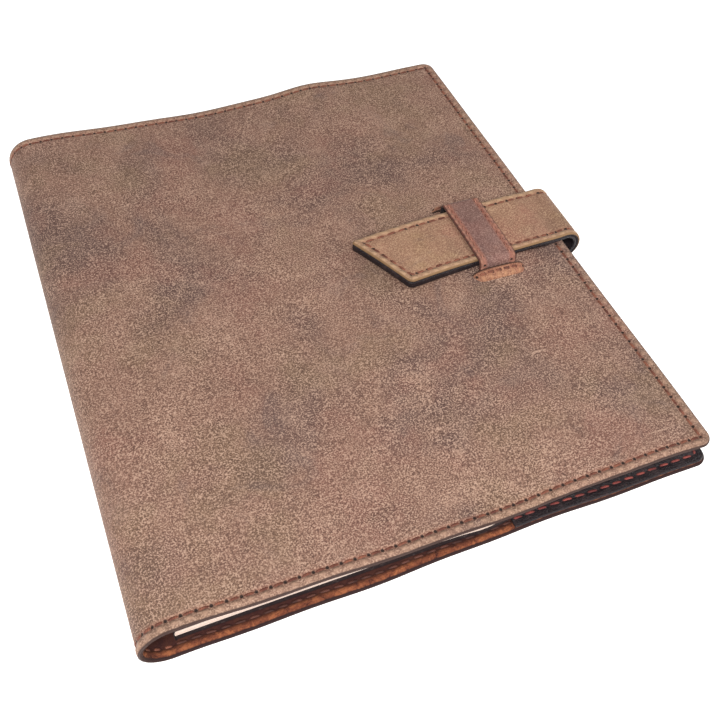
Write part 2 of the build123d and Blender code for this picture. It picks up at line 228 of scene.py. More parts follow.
# ---- The surface of the hide --------------------------------------------------------------------
class CoverSurface:
    """Outer face of the hide: (s, y, lift) to a point.

    s is the length along the section, 0 where the back cover meets the spine bend, negative on the
    back and above BEND_LENGTH on the front. lift is the height above the outer face along its
    normal, so the inner face is at minus the leather's thickness.
    """

    FRONT_KNOTS = (
        (SPINE_X, SPINE_HEIGHT),
        (SPINE_X + 34.0, 20.6),
        (SPINE_X + 80.0, 16.3),
        (POCKET_EDGE_X, 16.6),
        (SPINE_X + 178.0, 16.3),
        (FORE_X + FRONT_OVERHANG, 14.6),
    )
    REACH = 14.0
    SPLAY = 2.5

    def __init__(self) -> None:
        """Sample the section densely: a line, a half circle and the front's spline, end to end."""
        back_x = np.linspace(FORE_X + self.REACH, SPINE_X, 900)[:-1]
        angle = np.linspace(0.0, math.pi, 260)[:-1]
        front_x = np.linspace(SPINE_X, FORE_X + FRONT_OVERHANG, 900)
        reach_x = np.linspace(FORE_X + FRONT_OVERHANG, FORE_X + self.REACH, 60)[1:]
        front_z = clamped_spline(self.FRONT_KNOTS, front_x)
        self.x = np.concatenate([back_x, SPINE_X - BEND_RADIUS * np.sin(angle), front_x, reach_x])
        self.z = np.concatenate([np.zeros_like(back_x), BEND_RADIUS * (1.0 - np.cos(angle)), front_z,
                                 np.full_like(reach_x, front_z[-1])])
        length = np.concatenate([[0.0], np.cumsum(np.hypot(np.diff(self.x), np.diff(self.z)))])
        self.s = length - length[len(back_x)]
        dx, dz = np.gradient(self.x, self.s), np.gradient(self.z, self.s)
        scale = np.hypot(dx, dz)
        self.nx, self.nz = -dz / scale, dx / scale
        self.back_end = -(FORE_X - SPINE_X)
        self.front_start = BEND_LENGTH
        self.front_end = float(self.s_of(FORE_X + FRONT_OVERHANG))

    def s_of(self, x: Array | float, side: Side = Side.FRONT) -> Array:
        """Section length at a plan position x on one cover.

        Args:
            x: Plan position.
            side: The cover it is on.

        Returns:
            The section length.
        """
        if side is Side.BACK:
            return SPINE_X - np.asarray(x, float)
        front = self.s >= self.front_start_sample()
        return np.interp(x, self.x[front], self.s[front])

    def seam_ends(self) -> tuple[float, float]:
        """Section lengths of the seam's corners on the back and on the front."""
        return self.back_end + SEAM_INSET, self.front_end - SEAM_INSET

    def holes_to(self, s: Array) -> Array:
        """Needle holes from the back's seam corner to s.

        The count is a whole number at both corners and at the bend's two ends, and runs straight
        between them.

        Args:
            s: Section length.

        Returns:
            The number of holes, with its fraction.
        """
        back, front = self.seam_ends()
        counts = np.array([round(-back / PITCH), BEND_HOLES, round((front - BEND_LENGTH) / PITCH)])
        return np.interp(s, [back, 0.0, BEND_LENGTH, front], np.concatenate([[0], np.cumsum(counts)]))

    @staticmethod
    def front_start_sample() -> float:
        """Section length of the first sample that is surely on the front."""
        return BEND_LENGTH - 0.02

    def relief(self, s: Array, y: Array) -> Array:
        """Outward unevenness of the hide, which dies out where the back lies on the table.

        The front gets slow waves, a hump across the far end where the pocket starts, and a slight
        droop towards its fore corners.

        Args:
            s: Section length.
            y: Position along the cover's height.

        Returns:
            Height to add along the normal.
        """
        on_front = ease(s, 0.35 * BEND_LENGTH, 1.3 * BEND_LENGTH)
        x = s - BEND_LENGTH + SPINE_X
        waves = 0.42 * swell(x, y)
        hump = 1.8 * bump_at(x, 33.0, 15.0) * ease(y, 85.0, HALF_HEIGHT)
        dip = -0.9 * bump_at(x, 68.0, 22.0) * ease(y, 85.0, HALF_HEIGHT)
        near = 0.5 * bump_at(x, 60.0, 30.0) * ease(-y, 90.0, HALF_HEIGHT)
        return on_front * (waves + hump + dip + near)

    def place(self, s: Array, y: Array, lift: Array) -> Array:
        """Point of the sheet: the section's point plus lift along its normal.

        The long edges wander a little, and the back's two fore corners are splayed outwards.

        Args:
            s: Section length.
            y: Position along the cover's height.
            lift: Height above the outer face.

        Returns:
            Points, with the coordinates last.
        """
        s, y, lift = np.broadcast_arrays(s, y, lift)
        x, z = np.interp(s, self.s, self.x), np.interp(s, self.s, self.z)
        nx, nz = np.interp(s, self.s, self.nx), np.interp(s, self.s, self.nz)
        up = lift + self.relief(s, y)
        edge = np.sign(y) * ease(np.abs(y), 90.0, HALF_HEIGHT)
        sway = edge * 0.35 * (np.sin(s * 0.052 + 1.1 * np.sign(y)) + 0.6 * np.sin(s * 0.137 + y * 0.01))
        splay = self.SPLAY * ease(-s, 120.0, 205.0) * ease(np.abs(y), 30.0, HALF_HEIGHT)
        return np.stack([x + nx * up + splay, y + sway, z + nz * up], -1)

    def anchor(self, s: float) -> Vector:
        """Middle of the section at s, in metres, where a fold starts or ends."""
        return Vector(self.place(np.array(s), np.array(0.0), np.array(0.0)) * MM)


# ---- Meshes -------------------------------------------------------------------------------------
@dataclass
class Shape:
    """Arrays of a mesh while it is put together."""

    points: Array
    quads: Array
    values: dict[str, Array] = field(default_factory=dict)
    slots: Array | None = None
    closed: bool = True

    @staticmethod
    def joined(shapes: Sequence["Shape"]) -> "Shape":
        """One shape from several, with their vertex numbers shifted on.

        Args:
            shapes: The shapes, which hold the same named values.

        Returns:
            The joined shape.
        """
        starts = np.cumsum([0] + [len(s.points) for s in shapes[:-1]])
        slots = [s.slots if s.slots is not None else np.zeros(len(s.quads), int) for s in shapes]
        return Shape(
            np.concatenate([s.points for s in shapes]),
            np.concatenate([s.quads + n for s, n in zip(shapes, starts)]),
            {k: np.concatenate([s.values[k] for s in shapes]) for k in shapes[0].values},
            np.concatenate(slots),
        )

    def outward(self) -> "Shape":
        """The same closed shape with its faces turned outwards.

        The volume under the faces is a sixth of the sum of a . (b x c) over the triangles, and a
        negative one means that they all face inwards.

        Returns:
            This shape.
        """
        a, b, c, d = (self.points[self.quads[:, k]] for k in range(4))
        volume = np.sum(a * np.cross(b, c)) + np.sum(a * np.cross(c, d))
        if volume < 0:
            self.quads = self.quads[:, ::-1]
        return self

    def to_object(self, name: str, materials: Sequence[bpy.types.Material],
                  sharp_deg: float = 55.0) -> bpy.types.Object:
        """Write the mesh, in metres, and link its object.

        Args:
            name: The object's name.
            materials: Its materials, in slot order.
            sharp_deg: Edges that turn by more than this are shaded sharp.

        Returns:
            The new object, at the origin.
        """
        if self.closed:
            self.outward()
        mesh = bpy.data.meshes.new(name)
        mesh.vertices.add(len(self.points))
        mesh.vertices.foreach_set("co", (self.points * MM).astype(np.float32).ravel())
        mesh.loops.add(self.quads.size)
        mesh.loops.foreach_set("vertex_index", self.quads.astype(np.int32).ravel())
        mesh.polygons.add(len(self.quads))
        mesh.polygons.foreach_set("loop_start", np.arange(0, self.quads.size, 4, dtype=np.int32))
        if self.slots is not None:
            mesh.polygons.foreach_set("material_index", self.slots.astype(np.int32))
        for key, value in self.values.items():
            mesh.attributes.new(key, "FLOAT", "POINT").data.foreach_set("value", value.astype(np.float32))
        mesh.update(calc_edges=True)
        mesh.validate()
        mesh.shade_smooth()
        mesh.set_sharp_from_angle(angle=math.radians(sharp_deg))
        for material in materials:
            mesh.materials.append(material)
        obj = bpy.data.objects.new(name, mesh)
        bpy.context.scene.collection.objects.link(obj)
        return obj


def grid_quads(rows: int, columns: int, start: int = 0) -> Array:
    """Faces of a grid of points numbered row by row, turning from the rows towards the columns."""
    i, j = np.meshgrid(np.arange(rows - 1), np.arange(columns - 1), indexing="ij")
    a = start + i * columns + j
    return np.stack([a, a + columns, a + columns + 1, a + 1], -1).reshape(-1, 4)


def strip_quads(upper: Array, lower: Array) -> Array:
    """Faces between two lines of vertex numbers of the same length."""
    return np.stack([upper[:-1], upper[1:], lower[1:], lower[:-1]], -1)


@dataclass
class Slab:
    """A closed sheet of leather or card over a grid (u, v), between lift low and lift high.

    Near a real edge, at distance e, half the thickness is multiplied by the quarter circle
    square root of 1 - (1 - e / round)^2, which gives a rounded cut edge. A corner between two real
    edges is rounded in plan: the corner's square is mapped to a quarter disc by scaling each point
    by its larger coordinate over its length.
    """

    place: Place
    u: Array
    v: Array
    low: float
    high: float
    rims: tuple[bool, bool, bool, bool]
    corner: float = 0.0
    corner_ends: tuple[bool, bool] = (True, True)
    round: float = 0.8
    relief: Callable[[Array, Array, Array, bool], Array] | None = None
    seam: Callable[[Array, Array], tuple[Array, Array]] | None = None

    def build(self) -> Shape:
        """Work out both faces and the walls between them.

        Returns:
            The closed shape, with the attributes rim, seam_u, seam_v and inner.
        """
        u, v = np.meshgrid(self.u, self.v, indexing="ij")
        far = 1e3
        du_low = u - self.u[0] if self.rims[0] else np.full_like(u, far)
        du_high = self.u[-1] - u if self.rims[1] else np.full_like(u, far)
        dv_low = v - self.v[0] if self.rims[2] else np.full_like(v, far)
        dv_high = self.v[-1] - v if self.rims[3] else np.full_like(v, far)
        du, dv = np.minimum(du_low, du_high), np.minimum(dv_low, dv_high)
        rim = np.minimum(du, dv)
        if self.corner > 0:
            qu, qv = np.clip(self.corner - du, 0, None), np.clip(self.corner - dv, 0, None)
            chosen = np.where(du_low < du_high, self.corner_ends[0], self.corner_ends[1])
            inside = (qu > 0) & (qv > 0) & chosen
            longest = np.maximum(np.hypot(qu, qv), 1e-9)
            shrink = 1.0 - np.where(inside, np.maximum(qu, qv) / longest, 1.0)
            u = u + shrink * qu * np.where(du_low < du_high, 1.0, -1.0)
            v = v + shrink * qv * np.where(dv_low < dv_high, 1.0, -1.0)
        roundness = np.sqrt(np.clip(1.0 - (1.0 - np.clip(rim / self.round, 0, 1)) ** 2, 0.02, 1.0))
        middle, half = (self.low + self.high) / 2, (self.high - self.low) / 2
        top, bottom = middle + half * roundness, middle - half * roundness
        if self.relief is not None:
            top = top + self.relief(u, v, rim, True)
            bottom = bottom + self.relief(u, v, rim, False)
        points = np.concatenate([self.place(u, v, face).reshape(-1, 3) for face in (top, bottom)])
        rows, columns = u.shape
        count = rows * columns
        number = np.arange(count).reshape(rows, columns)
        faces = [grid_quads(rows, columns), grid_quads(rows, columns, count)[:, ::-1]]
        for line in (number[0, :], number[-1, ::-1], number[::-1, 0], number[:, -1]):
            faces.append(strip_quads(line, line + count))
        quads = np.concatenate(faces)
        nowhere = np.zeros_like(u), np.full_like(u, 50.0)
        along, across = self.seam(u, v) if self.seam is not None else nowhere
        inner = np.concatenate([np.zeros(count), np.ones(count)])
        values = {"rim": np.tile(rim.ravel(), 2), "seam_u": np.tile(along.ravel(), 2),
                  "seam_v": np.tile(across.ravel(), 2), "inner": inner}
        slots = np.ones(len(quads), int)
        slots[:len(faces[0])] = 0
        return Shape(points, quads, values, slots)


class Route:
    """A stitch line on a surface: a polyline in (u, v) with rounded corners, known by its length."""

    def __init__(self, corners: Sequence[tuple[float, float]], radius: float = 1.5) -> None:
        """Lay the line.

        Each inner corner is replaced by the quadratic Bezier curve whose ends lie the radius away
        from the corner.

        Args:
            corners: The polyline's points.
            radius: How far from a corner its rounding starts.
        """
        pts = np.array(corners, float)
        line = [pts[:1]]
        t = np.linspace(0, 1, 9)[:, None]
        for before, corner, after in zip(pts[:-2], pts[1:-1], pts[2:]):
            a = corner + (before - corner) / np.linalg.norm(before - corner) * radius
            b = corner + (after - corner) / np.linalg.norm(after - corner) * radius
            line.append((1 - t) ** 2 * a + 2 * t * (1 - t) * corner + t**2 * b)
        line.append(pts[-1:])
        self.line = np.concatenate(line)
        self.at = np.concatenate([[0.0], np.cumsum(np.linalg.norm(np.diff(self.line, axis=0), axis=1))])
        self.length = float(self.at[-1])

    def point(self, t: Array, aside: Array) -> tuple[Array, Array]:
        """Surface coordinates at length t, moved aside to the left of the line.

        Args:
            t: Length along the line.
            aside: Distance to the left.

        Returns:
            u and v.
        """
        u, v = np.interp(t, self.at, self.line[:, 0]), np.interp(t, self.at, self.line[:, 1])
        e = 0.6
        du = np.interp(t + e, self.at, self.line[:, 0]) - np.interp(t - e, self.at, self.line[:, 0])
        dv = np.interp(t + e, self.at, self.line[:, 1]) - np.interp(t - e, self.at, self.line[:, 1])
        size = np.maximum(np.hypot(du, dv), 1e-9)
        return u - aside * dv / size, v + aside * du / size


@dataclass
class StitchRow:
    """Stitches along a route. Each is a slightly slanted spindle of thread whose ends dive into holes.

    A point of a stitch lies a along it and round its section at angle q: the section's half width
    and half height shrink towards the ends as the square root of 1 - (2a / length)^4, and the
    middle rides higher than the ends by the arch times the cosine of half a turn over its length.
    """

    place: Place
    route: Route
    lift: float
    rng: np.random.Generator
    pitch: float = PITCH
    length: float = 3.9
    width: float = 0.95
    height: float = 0.62
    arch: float = 0.42
    slant: float = 0.07
    up: float = 1.0
    RINGS = 7
    SIDES = 6

    def build(self) -> Shape:
        """Work out every stitch of the row.

        Returns:
            The stitches, with the attributes twist_u and twist_v along and round each.
        """
        centres = np.arange(0.5 * self.pitch, self.route.length - 0.3 * self.pitch, self.pitch)
        n = len(centres)
        a = np.linspace(-0.5, 0.5, self.RINGS)
        q = np.linspace(0, 2 * math.pi, self.SIDES, endpoint=False)
        long = self.length * self.rng.uniform(0.94, 1.05, n)
        tilt = self.slant + self.rng.normal(0, 0.025, n)
        rise = self.rng.normal(0, 0.035, n)
        taper = np.sqrt(np.clip(1.0 - np.abs(2 * a) ** 4, 0.04, 1.0))
        t = centres[:, None, None] + (a[None, :] * long[:, None])[:, :, None] + 0 * q
        aside = (a[None, :] * (long * tilt)[:, None])[:, :, None] + (
            0.5 * self.width * taper)[None, :, None] * np.cos(q)
        climb = self.arch * (np.cos(math.pi * a) - 0.62)
        lift = self.lift + self.up * (rise[:, None, None] + climb[None, :, None]
                                      + (0.5 * self.height * taper)[None, :, None] * np.sin(q))
        u, v = self.route.point(t, aside)
        points = self.place(u, v, lift + 0 * u).reshape(-1, 3)
        ring = np.arange(self.SIDES)
        nxt = (ring + 1) % self.SIDES
        body = np.stack([ring, ring + self.SIDES, nxt + self.SIDES, nxt], -1)
        one = (body[None] + (np.arange(self.RINGS - 1) * self.SIDES)[:, None, None]).reshape(-1, 4)
        last = (self.RINGS - 1) * self.SIDES
        caps = np.array([[0, 1, 2, 5], [2, 3, 4, 5], [last + 5, last + 2, last + 1, last],
                         [last + 5, last + 4, last + 3, last + 2]])
        one = np.concatenate([one, caps])
        quads = (one[None] + (np.arange(n) * self.RINGS * self.SIDES)[:, None, None]).reshape(-1, 4)
        return Shape(points, quads, {
            "twist_u": np.broadcast_to(a[None, :, None] * self.length, t.shape).ravel(),
            "twist_v": np.broadcast_to(q / (2 * math.pi), t.shape).ravel()})


# ---- Materials ----------------------------------------------------------------------------------
class Nodes:
    """Short ways to put a node material together."""

    def __init__(self, name: str) -> None:
        """Start an empty material with its output."""
        self.material = bpy.data.materials.new(name)
        self.material.use_nodes = True
        self.tree = self.material.node_tree
        self.tree.nodes.clear()
        self.output = self.tree.nodes.new("ShaderNodeOutputMaterial")

    def add(self, kind: str, inputs: dict[str | int, object] | None = None,
            **props: object) -> bpy.types.Node:
        """A node with its properties and inputs set.

        Args:
            kind: The node's type.
            inputs: Values or other nodes' sockets, by input name or number.
            **props: The node's own properties.

        Returns:
            The node.
        """
        node = self.tree.nodes.new(kind)
        for key, value in props.items():
            setattr(node, key, value)
        for key, value in (inputs or {}).items():
            if isinstance(value, bpy.types.NodeSocket):
                self.tree.links.new(value, node.inputs[key])
            else:
                node.inputs[key].default_value = value
        return node

    def place(self) -> bpy.types.NodeSocket:
        """Object coordinates."""
        return self.add("ShaderNodeTexCoord").outputs["Object"]

    def shifted(self, at: bpy.types.NodeSocket, by: tuple[float, float, float]) -> bpy.types.NodeSocket:
        """Coordinates moved, so that a second noise doesn't repeat the first."""
        return self.add("ShaderNodeMapping", {"Vector": at, "Location": by}).outputs[0]

    def value(self, name: str) -> bpy.types.NodeSocket:
        """A named number of the mesh."""
        return self.add("ShaderNodeAttribute", attribute_name=name).outputs["Fac"]

    def noise(self, scale: float, detail: float = 3.0, rough: float = 0.55,
              at: bpy.types.NodeSocket | None = None, warp: float = 0.0) -> bpy.types.NodeSocket:
        """Fractal noise with scale in features per metre."""
        inputs = {"Vector": at or self.place(), "Scale": scale, "Detail": detail, "Roughness": rough,
                  "Distortion": warp}
        return self.add("ShaderNodeTexNoise", inputs).outputs["Fac"]

    def cells(self, scale: float, at: bpy.types.NodeSocket | None = None,
              feature: str = "F1") -> bpy.types.NodeSocket:
        """Distance to the nearest of scattered points, or to the nearest edge between them."""
        return self.add("ShaderNodeTexVoronoi", {"Vector": at or self.place(), "Scale": scale},
                        feature=feature).outputs["Distance"]

    def math(self, kind: str, a: object, b: object = 0.0, c: object = 0.0) -> bpy.types.NodeSocket:
        """One arithmetic step."""
        return self.add("ShaderNodeMath", {0: a, 1: b, 2: c}, operation=kind).outputs[0]

    def span(self, x: object, low: float, high: float, to_low: float = 0.0, to_high: float = 1.0,
             smooth: bool = True) -> bpy.types.NodeSocket:
        """x from low to high, carried to the range to_low to to_high and held beyond it."""
        inputs = {"Value": x, "From Min": low, "From Max": high, "To Min": to_low, "To Max": to_high}
        kind = "SMOOTHSTEP" if smooth else "LINEAR"
        return self.add("ShaderNodeMapRange", inputs, interpolation_type=kind).outputs["Result"]

    def mix(self, share: object, a: object, b: object, kind: str = "MIX") -> bpy.types.NodeSocket:
        """Two colours mixed."""
        sources = {0: share, 6: self.paint(a), 7: self.paint(b)}
        return self.add("ShaderNodeMix", sources, data_type="RGBA", blend_type=kind).outputs[2]

    def tint(self, colour: object, mask: object, share: object, over: object) -> bpy.types.NodeSocket:
        """A colour laid over another where the mask is, at most by the share."""
        return self.mix(self.math("MULTIPLY", mask, share), colour, over)

    @staticmethod
    def paint(colour: object) -> object:
        """A colour with its alpha, or a socket as it is."""
        return (*colour, 1.0) if isinstance(colour, tuple) else colour

    def bump(self, height: object, distance: float, strength: float = 1.0,
             normal: bpy.types.NodeSocket | None = None) -> bpy.types.NodeSocket:
        """Relief from a height of 0 to 1 that stands for the given distance in metres."""
        inputs = {"Height": height, "Distance": distance, "Strength": strength}
        if normal is not None:
            inputs["Normal"] = normal
        return self.add("ShaderNodeBump", inputs).outputs["Normal"]

    def finish(self, **inputs: object) -> bpy.types.Material:
        """Close the material with a Principled shader whose inputs are named with underscores."""
        named = {k.replace("_", " "): v for k, v in inputs.items()}
        named = {k: self.paint(v) for k, v in named.items()}
        shader = self.add("ShaderNodeBsdfPrincipled", named)
        self.tree.links.new(shader.outputs[0], self.output.inputs[0])
        return self.material


@dataclass(frozen=True)
class HideFinish:
    """Waxed pull-up leather: fine scuffed nap over slow patches of wax, worn seams, dark cut edges."""

    name: str = "hide"
    base: Colour = (0.212, 0.115, 0.082)
    light: Colour = (0.50, 0.335, 0.250)
    dark: Colour = (0.058, 0.029, 0.023)
    patch: Colour = (0.112, 0.064, 0.054)
    olive: Colour = (0.178, 0.112, 0.066)
    rosy: Colour = (0.205, 0.092, 0.070)
    smoke: Colour = (0.110, 0.074, 0.068)
    edge: Colour = (0.040, 0.020, 0.016)
    # near-black painted shade for the lower cut walls, the undersides and the slit beside the keeper
    under: Colour = (0.012, 0.008, 0.010)
    worn: Colour = (0.36, 0.220, 0.152)
    rust: Colour = (0.24, 0.095, 0.060)
    needle: Colour = (0.010, 0.005, 0.004)
    edge_wear: float = 0.30
    seam_wear: float = 0.40
    grain: float = 0.8
    puckers: float = 0.6
    # share of near-black painted shade along a slit
    slit: float = 0.0

    def material(self) -> bpy.types.Material:
        """Build the material.

        Colour: a slow noise mixes the base with darker wax, two more tint it olive and rosy, fine
        noises scatter light and dark nap, a stretched noise draws a few scratches, the rim attribute
        darkens the cut edge and wears the leather next to it, and the seam attributes paint shade
        into the needle holes and brighten the puckers. Painted shade also turns the lower part of the
        cut walls and the underside near-black through the inner attribute, and runs along a slit by
        the slit share. Relief follows the same parts.

        Returns:
            The material.
        """
        n = Nodes(self.name)
        at = n.place()
        rim, along, across = n.value("rim"), n.value("seam_u"), n.value("seam_v")
        slow = n.noise(14.0, 3.5, 0.6, at, 0.6)
        hue = n.noise(27.0, 3.0, 0.6, n.shifted(at, (3.1, 1.7, 0.4)))
        smudge = n.noise(36.0, 4.0, 0.65, n.shifted(at, (0.9, 5.3, 2.2)), 0.8)
        mid = n.noise(75.0, 4.0, 0.62, at, 0.3)
        nap = n.noise(1750.0, 1.0, 0.6, at, 0.4)
        speck = n.noise(620.0, 3.0, 0.75, at, 0.6)
        colour = n.mix(n.span(slow, 0.44, 0.66), self.base, self.patch)
        colour = n.tint(colour, n.span(hue, 0.50, 0.66), 0.55, self.olive)
        colour = n.tint(colour, n.span(hue, 0.48, 0.34), 0.55, self.rosy)
        colour = n.tint(colour, n.span(smudge, 0.56, 0.72), 0.55, self.smoke)
        colour = n.tint(colour, n.span(smudge, 0.44, 0.28), 0.35, self.worn)
        colour = n.tint(colour, n.span(mid, 0.5, 0.8), 0.35, self.dark)
        colour = n.tint(colour, n.span(mid, 0.5, 0.25), 0.22, self.light)
        colour = n.tint(colour, n.span(speck, 0.52, 0.70), 0.12 * self.grain, self.light)
        colour = n.tint(colour, n.span(speck, 0.48, 0.32), 0.14 * self.grain, self.dark)
        rubbed = n.span(smudge, 0.35, 0.65, 0.9 * self.grain, 0.62 * self.grain)
        colour = n.tint(colour, n.span(nap, 0.50, 0.64), rubbed, self.light)
        colour = n.tint(colour, n.span(nap, 0.50, 0.36), rubbed, self.dark)
        streak = n.add("ShaderNodeMapping", {"Vector": at, "Rotation": (0.0, 0.0, 0.9),
                                             "Scale": (45.0, 950.0, 45.0)})
        scratch = n.span(n.noise(1.0, 1.0, 0.5, streak.outputs[0], 0.35), 0.72, 0.78)
        colour = n.tint(colour, scratch, 0.35, self.light)
        # worn band between the seam and the cut edge
        band = n.math("MULTIPLY", n.span(rim, 3.6, 1.2), n.span(mid, 0.35, 0.62, 0.35, 1.0))
        colour = n.tint(colour, band, self.edge_wear, self.worn)
        near_seam = n.span(n.math("ABSOLUTE", across), 1.7, 0.2)
        colour = n.tint(colour, near_seam, self.seam_wear, self.rust)
        fraction = n.math("FRACT", n.math("ADD", along, 0.5))
        from_hole = n.math("MULTIPLY", n.math("ABSOLUTE", n.math("SUBTRACT", fraction, 0.5)), PITCH)
        aside = n.math("SUBTRACT", across, 1.7)
        puff = n.math("MULTIPLY", n.span(from_hole, 0.6, 2.3), n.span(n.math("ABSOLUTE", aside), 1.7, 0.1))
        colour = n.tint(colour, puff, self.puckers, self.worn)
        hole = n.math("SQRT", n.math("ADD", n.math("MULTIPLY", from_hole, from_hole),
                                     n.math("MULTIPLY", across, across)))
        # painted shade: each needle hole is a near-black dot, the shade inside the hole
        pit = n.span(hole, 0.78, 0.38)
        colour = n.tint(colour, pit, 0.95, self.needle)
        ragged = n.math("ADD", rim, n.math("MULTIPLY", n.math("SUBTRACT", mid, 0.5), 0.7))
        cut = n.span(ragged, 0.75, 0.35)
        colour = n.mix(cut, colour, self.edge)
        # painted shade: the lower part of each cut wall and the underside go near-black, the shade under the
        # strap, keeper and lip
        colour = n.mix(n.span(n.value("inner"), 0.12, 0.36), colour, self.under)
        # painted shade: the lip darkens towards its slit, the shaded gap beside the keeper's leg
        colour = n.tint(colour, n.span(across, -1.0, -1.9), self.slit, self.under)
        # relief: nap, slow creases, the groove with its puckers
        height = n.math("ADD", n.math("MULTIPLY", speck, 0.40), n.math("MULTIPLY", nap, 0.60))
        fine = n.bump(height, 0.0003, 0.8)
        coarse = n.bump(n.math("ADD", mid, n.math("MULTIPLY", puff, 1.1)), 0.0007, 0.6, fine)
        relief = n.bump(n.math("SUBTRACT", 1.0, pit), 0.0008, 0.7, coarse)
        rough = n.span(slow, 0.3, 0.7, 0.68, 0.84)
        return n.finish(Base_Color=colour, Roughness=rough, Normal=relief, Specular_IOR_Level=0.28,
                        Sheen_Weight=0.08, Sheen_Roughness=0.45, Sheen_Tint=(0.85, 0.70, 0.62))


@dataclass(frozen=True)
class SuedeFinish:
    """Flesh side of the hide: rust nap under painted shade that darkens it away from the cut edge, and a dark
    cut edge.
    """

    name: str = "suede"
    base: Colour = (0.150, 0.046, 0.026)
    bright: Colour = (0.33, 0.115, 0.050)
    dark: Colour = (0.026, 0.009, 0.010)
    edge: Colour = (0.024, 0.013, 0.014)

    def material(self) -> bpy.types.Material:
        """Build the material: three noises from clumps to fibres for colour and relief.

        Returns:
            The material.
        """
        n = Nodes(self.name)
        at = n.place()
        clump, fibre = n.noise(300.0, 4.0, 0.7, at, 0.6), n.noise(1300.0, 3.0, 0.75, at, 1.0)
        rim = n.value("rim")
        colour = n.mix(n.span(clump, 0.42, 0.68), self.base, self.bright)
        colour = n.mix(n.span(clump, 0.46, 0.28), colour, self.dark)
        colour = n.tint(colour, n.span(fibre, 0.5, 0.72), 0.5, self.bright)
        colour = n.tint(colour, n.span(fibre, 0.48, 0.3), 0.6, self.dark)
        # painted shade: beyond 4 mm from the cut edge the flesh side turns 90 % dark, the shadow inside the
        # closed cover
        colour = n.tint(colour, n.span(rim, 1.9, 4.0), 0.90, self.dark)
        ragged = n.math("ADD", rim, n.math("MULTIPLY", clump, 0.6))
        colour = n.mix(n.span(ragged, 1.5, 0.9), colour, self.edge)
        relief = n.bump(n.math("ADD", n.math("MULTIPLY", clump, 0.6), fibre), 0.0005, 0.8)
        return n.finish(Base_Color=colour, Roughness=0.95, Normal=relief, Specular_IOR_Level=0.15,
                        Sheen_Weight=0.05, Sheen_Roughness=0.6, Sheen_Tint=(0.85, 0.40, 0.18))


@dataclass(frozen=True)
class LiningFinish:
    """Thin near-black pocket leather with fine grain and a soft sheen."""

    name: str = "lining"
    base: Colour = (0.010, 0.006, 0.008)
    light: Colour = (0.032, 0.019, 0.021)
    fleck: Colour = (0.22, 0.10, 0.07)

    def material(self) -> bpy.types.Material:
        """Build the material: pebble cells for grain, a noise for scuffs that are lighter and rougher.

        Returns:
            The material.
        """
        n = Nodes(self.name)
        at = n.place()
        pebble = n.cells(950.0, at, "DISTANCE_TO_EDGE")
        scuff = n.noise(160.0, 5.0, 0.7, at, 0.5)
        fine = n.noise(1800.0, 2.0, 0.6, at)
        colour = n.mix(n.span(scuff, 0.48, 0.72), self.base, self.light)
        colour = n.tint(colour, n.span(fine, 0.64, 0.76), 0.4, self.fleck)
        relief = n.bump(n.math("ADD", n.span(pebble, 0.0, 0.15), n.math("MULTIPLY", scuff, 0.8)), 0.0002, 0.6)
        return n.finish(Base_Color=colour, Roughness=n.span(scuff, 0.3, 0.7, 0.42, 0.62), Normal=relief,
                        Specular_IOR_Level=0.35)


@dataclass(frozen=True)
class ThreadFinish:
    """Waxed rust thread of two twisted plies."""

    name: str = "thread"
    base: Colour = (0.125, 0.038, 0.024)
    light: Colour = (0.27, 0.095, 0.055)
    dark: Colour = (0.020, 0.007, 0.006)

    def material(self) -> bpy.types.Material:
        """Build the material: the plies are a wave in (length + turns), noise varies each stitch, and painted
        shade darkens the grooves between the plies and the ends where a stitch dives into its hole.

        Returns:
            The material.
        """
        n = Nodes(self.name)
        along, round_ = n.value("twist_u"), n.value("twist_v")
        turns = n.math("ADD", n.math("MULTIPLY", along, 0.9), round_)
        ply = n.math("SINE", n.math("MULTIPLY", turns, 2 * math.pi * 2))
        ply = n.span(ply, -1.0, 1.0)
        vary = n.noise(190.0, 2.0, 0.6)
        colour = n.mix(n.span(vary, 0.35, 0.65), self.base, self.light)
        # painted shade: darker grooves between the plies and darker stitch ends where the thread goes into
        # the hole
        colour = n.tint(colour, n.span(ply, 0.45, 0.0), 0.6, self.dark)
        ends = n.span(n.math("ABSOLUTE", along), 1.3, 1.95)
        colour = n.tint(colour, ends, 0.75, self.dark)
        return n.finish(Base_Color=colour, Roughness=0.6, Normal=n.bump(ply, 0.00018, 0.7),
                        Specular_IOR_Level=0.3)


@dataclass(frozen=True)
class PaperFinish:
    """Uncoated off-white leaves: fine layers across the block, fibres and faint age marks on a page."""

    name: str = "paper"
    base: Colour = (0.66, 0.54, 0.47)
    shade: Colour = (0.36, 0.27, 0.23)

    def material(self) -> bpy.types.Material:
        """Build the material: noise stretched along the leaves draws their layers, two more mark a page.

        Returns:
            The material.
        """
        n = Nodes(self.name)
        squash = n.add("ShaderNodeMapping", {"Vector": n.place(), "Scale": (0.4, 0.4, 2600.0)}).outputs[0]
        layers = n.noise(1.0, 2.0, 0.6, squash)
        blotch, fibre = n.noise(30.0, 4.0, 0.65), n.noise(1300.0, 3.0, 0.7)
        colour = n.mix(n.math("MULTIPLY", n.span(layers, 0.58, 0.36), 0.7), self.base, self.shade)
        colour = n.tint(colour, n.span(blotch, 0.45, 0.75), 0.10, self.shade)
        colour = n.tint(colour, n.span(fibre, 0.5, 0.75), 0.12, self.shade)
        return n.finish(Base_Color=colour, Roughness=0.85, Normal=n.bump(fibre, 0.00006, 0.4),
                        Specular_IOR_Level=0.2)


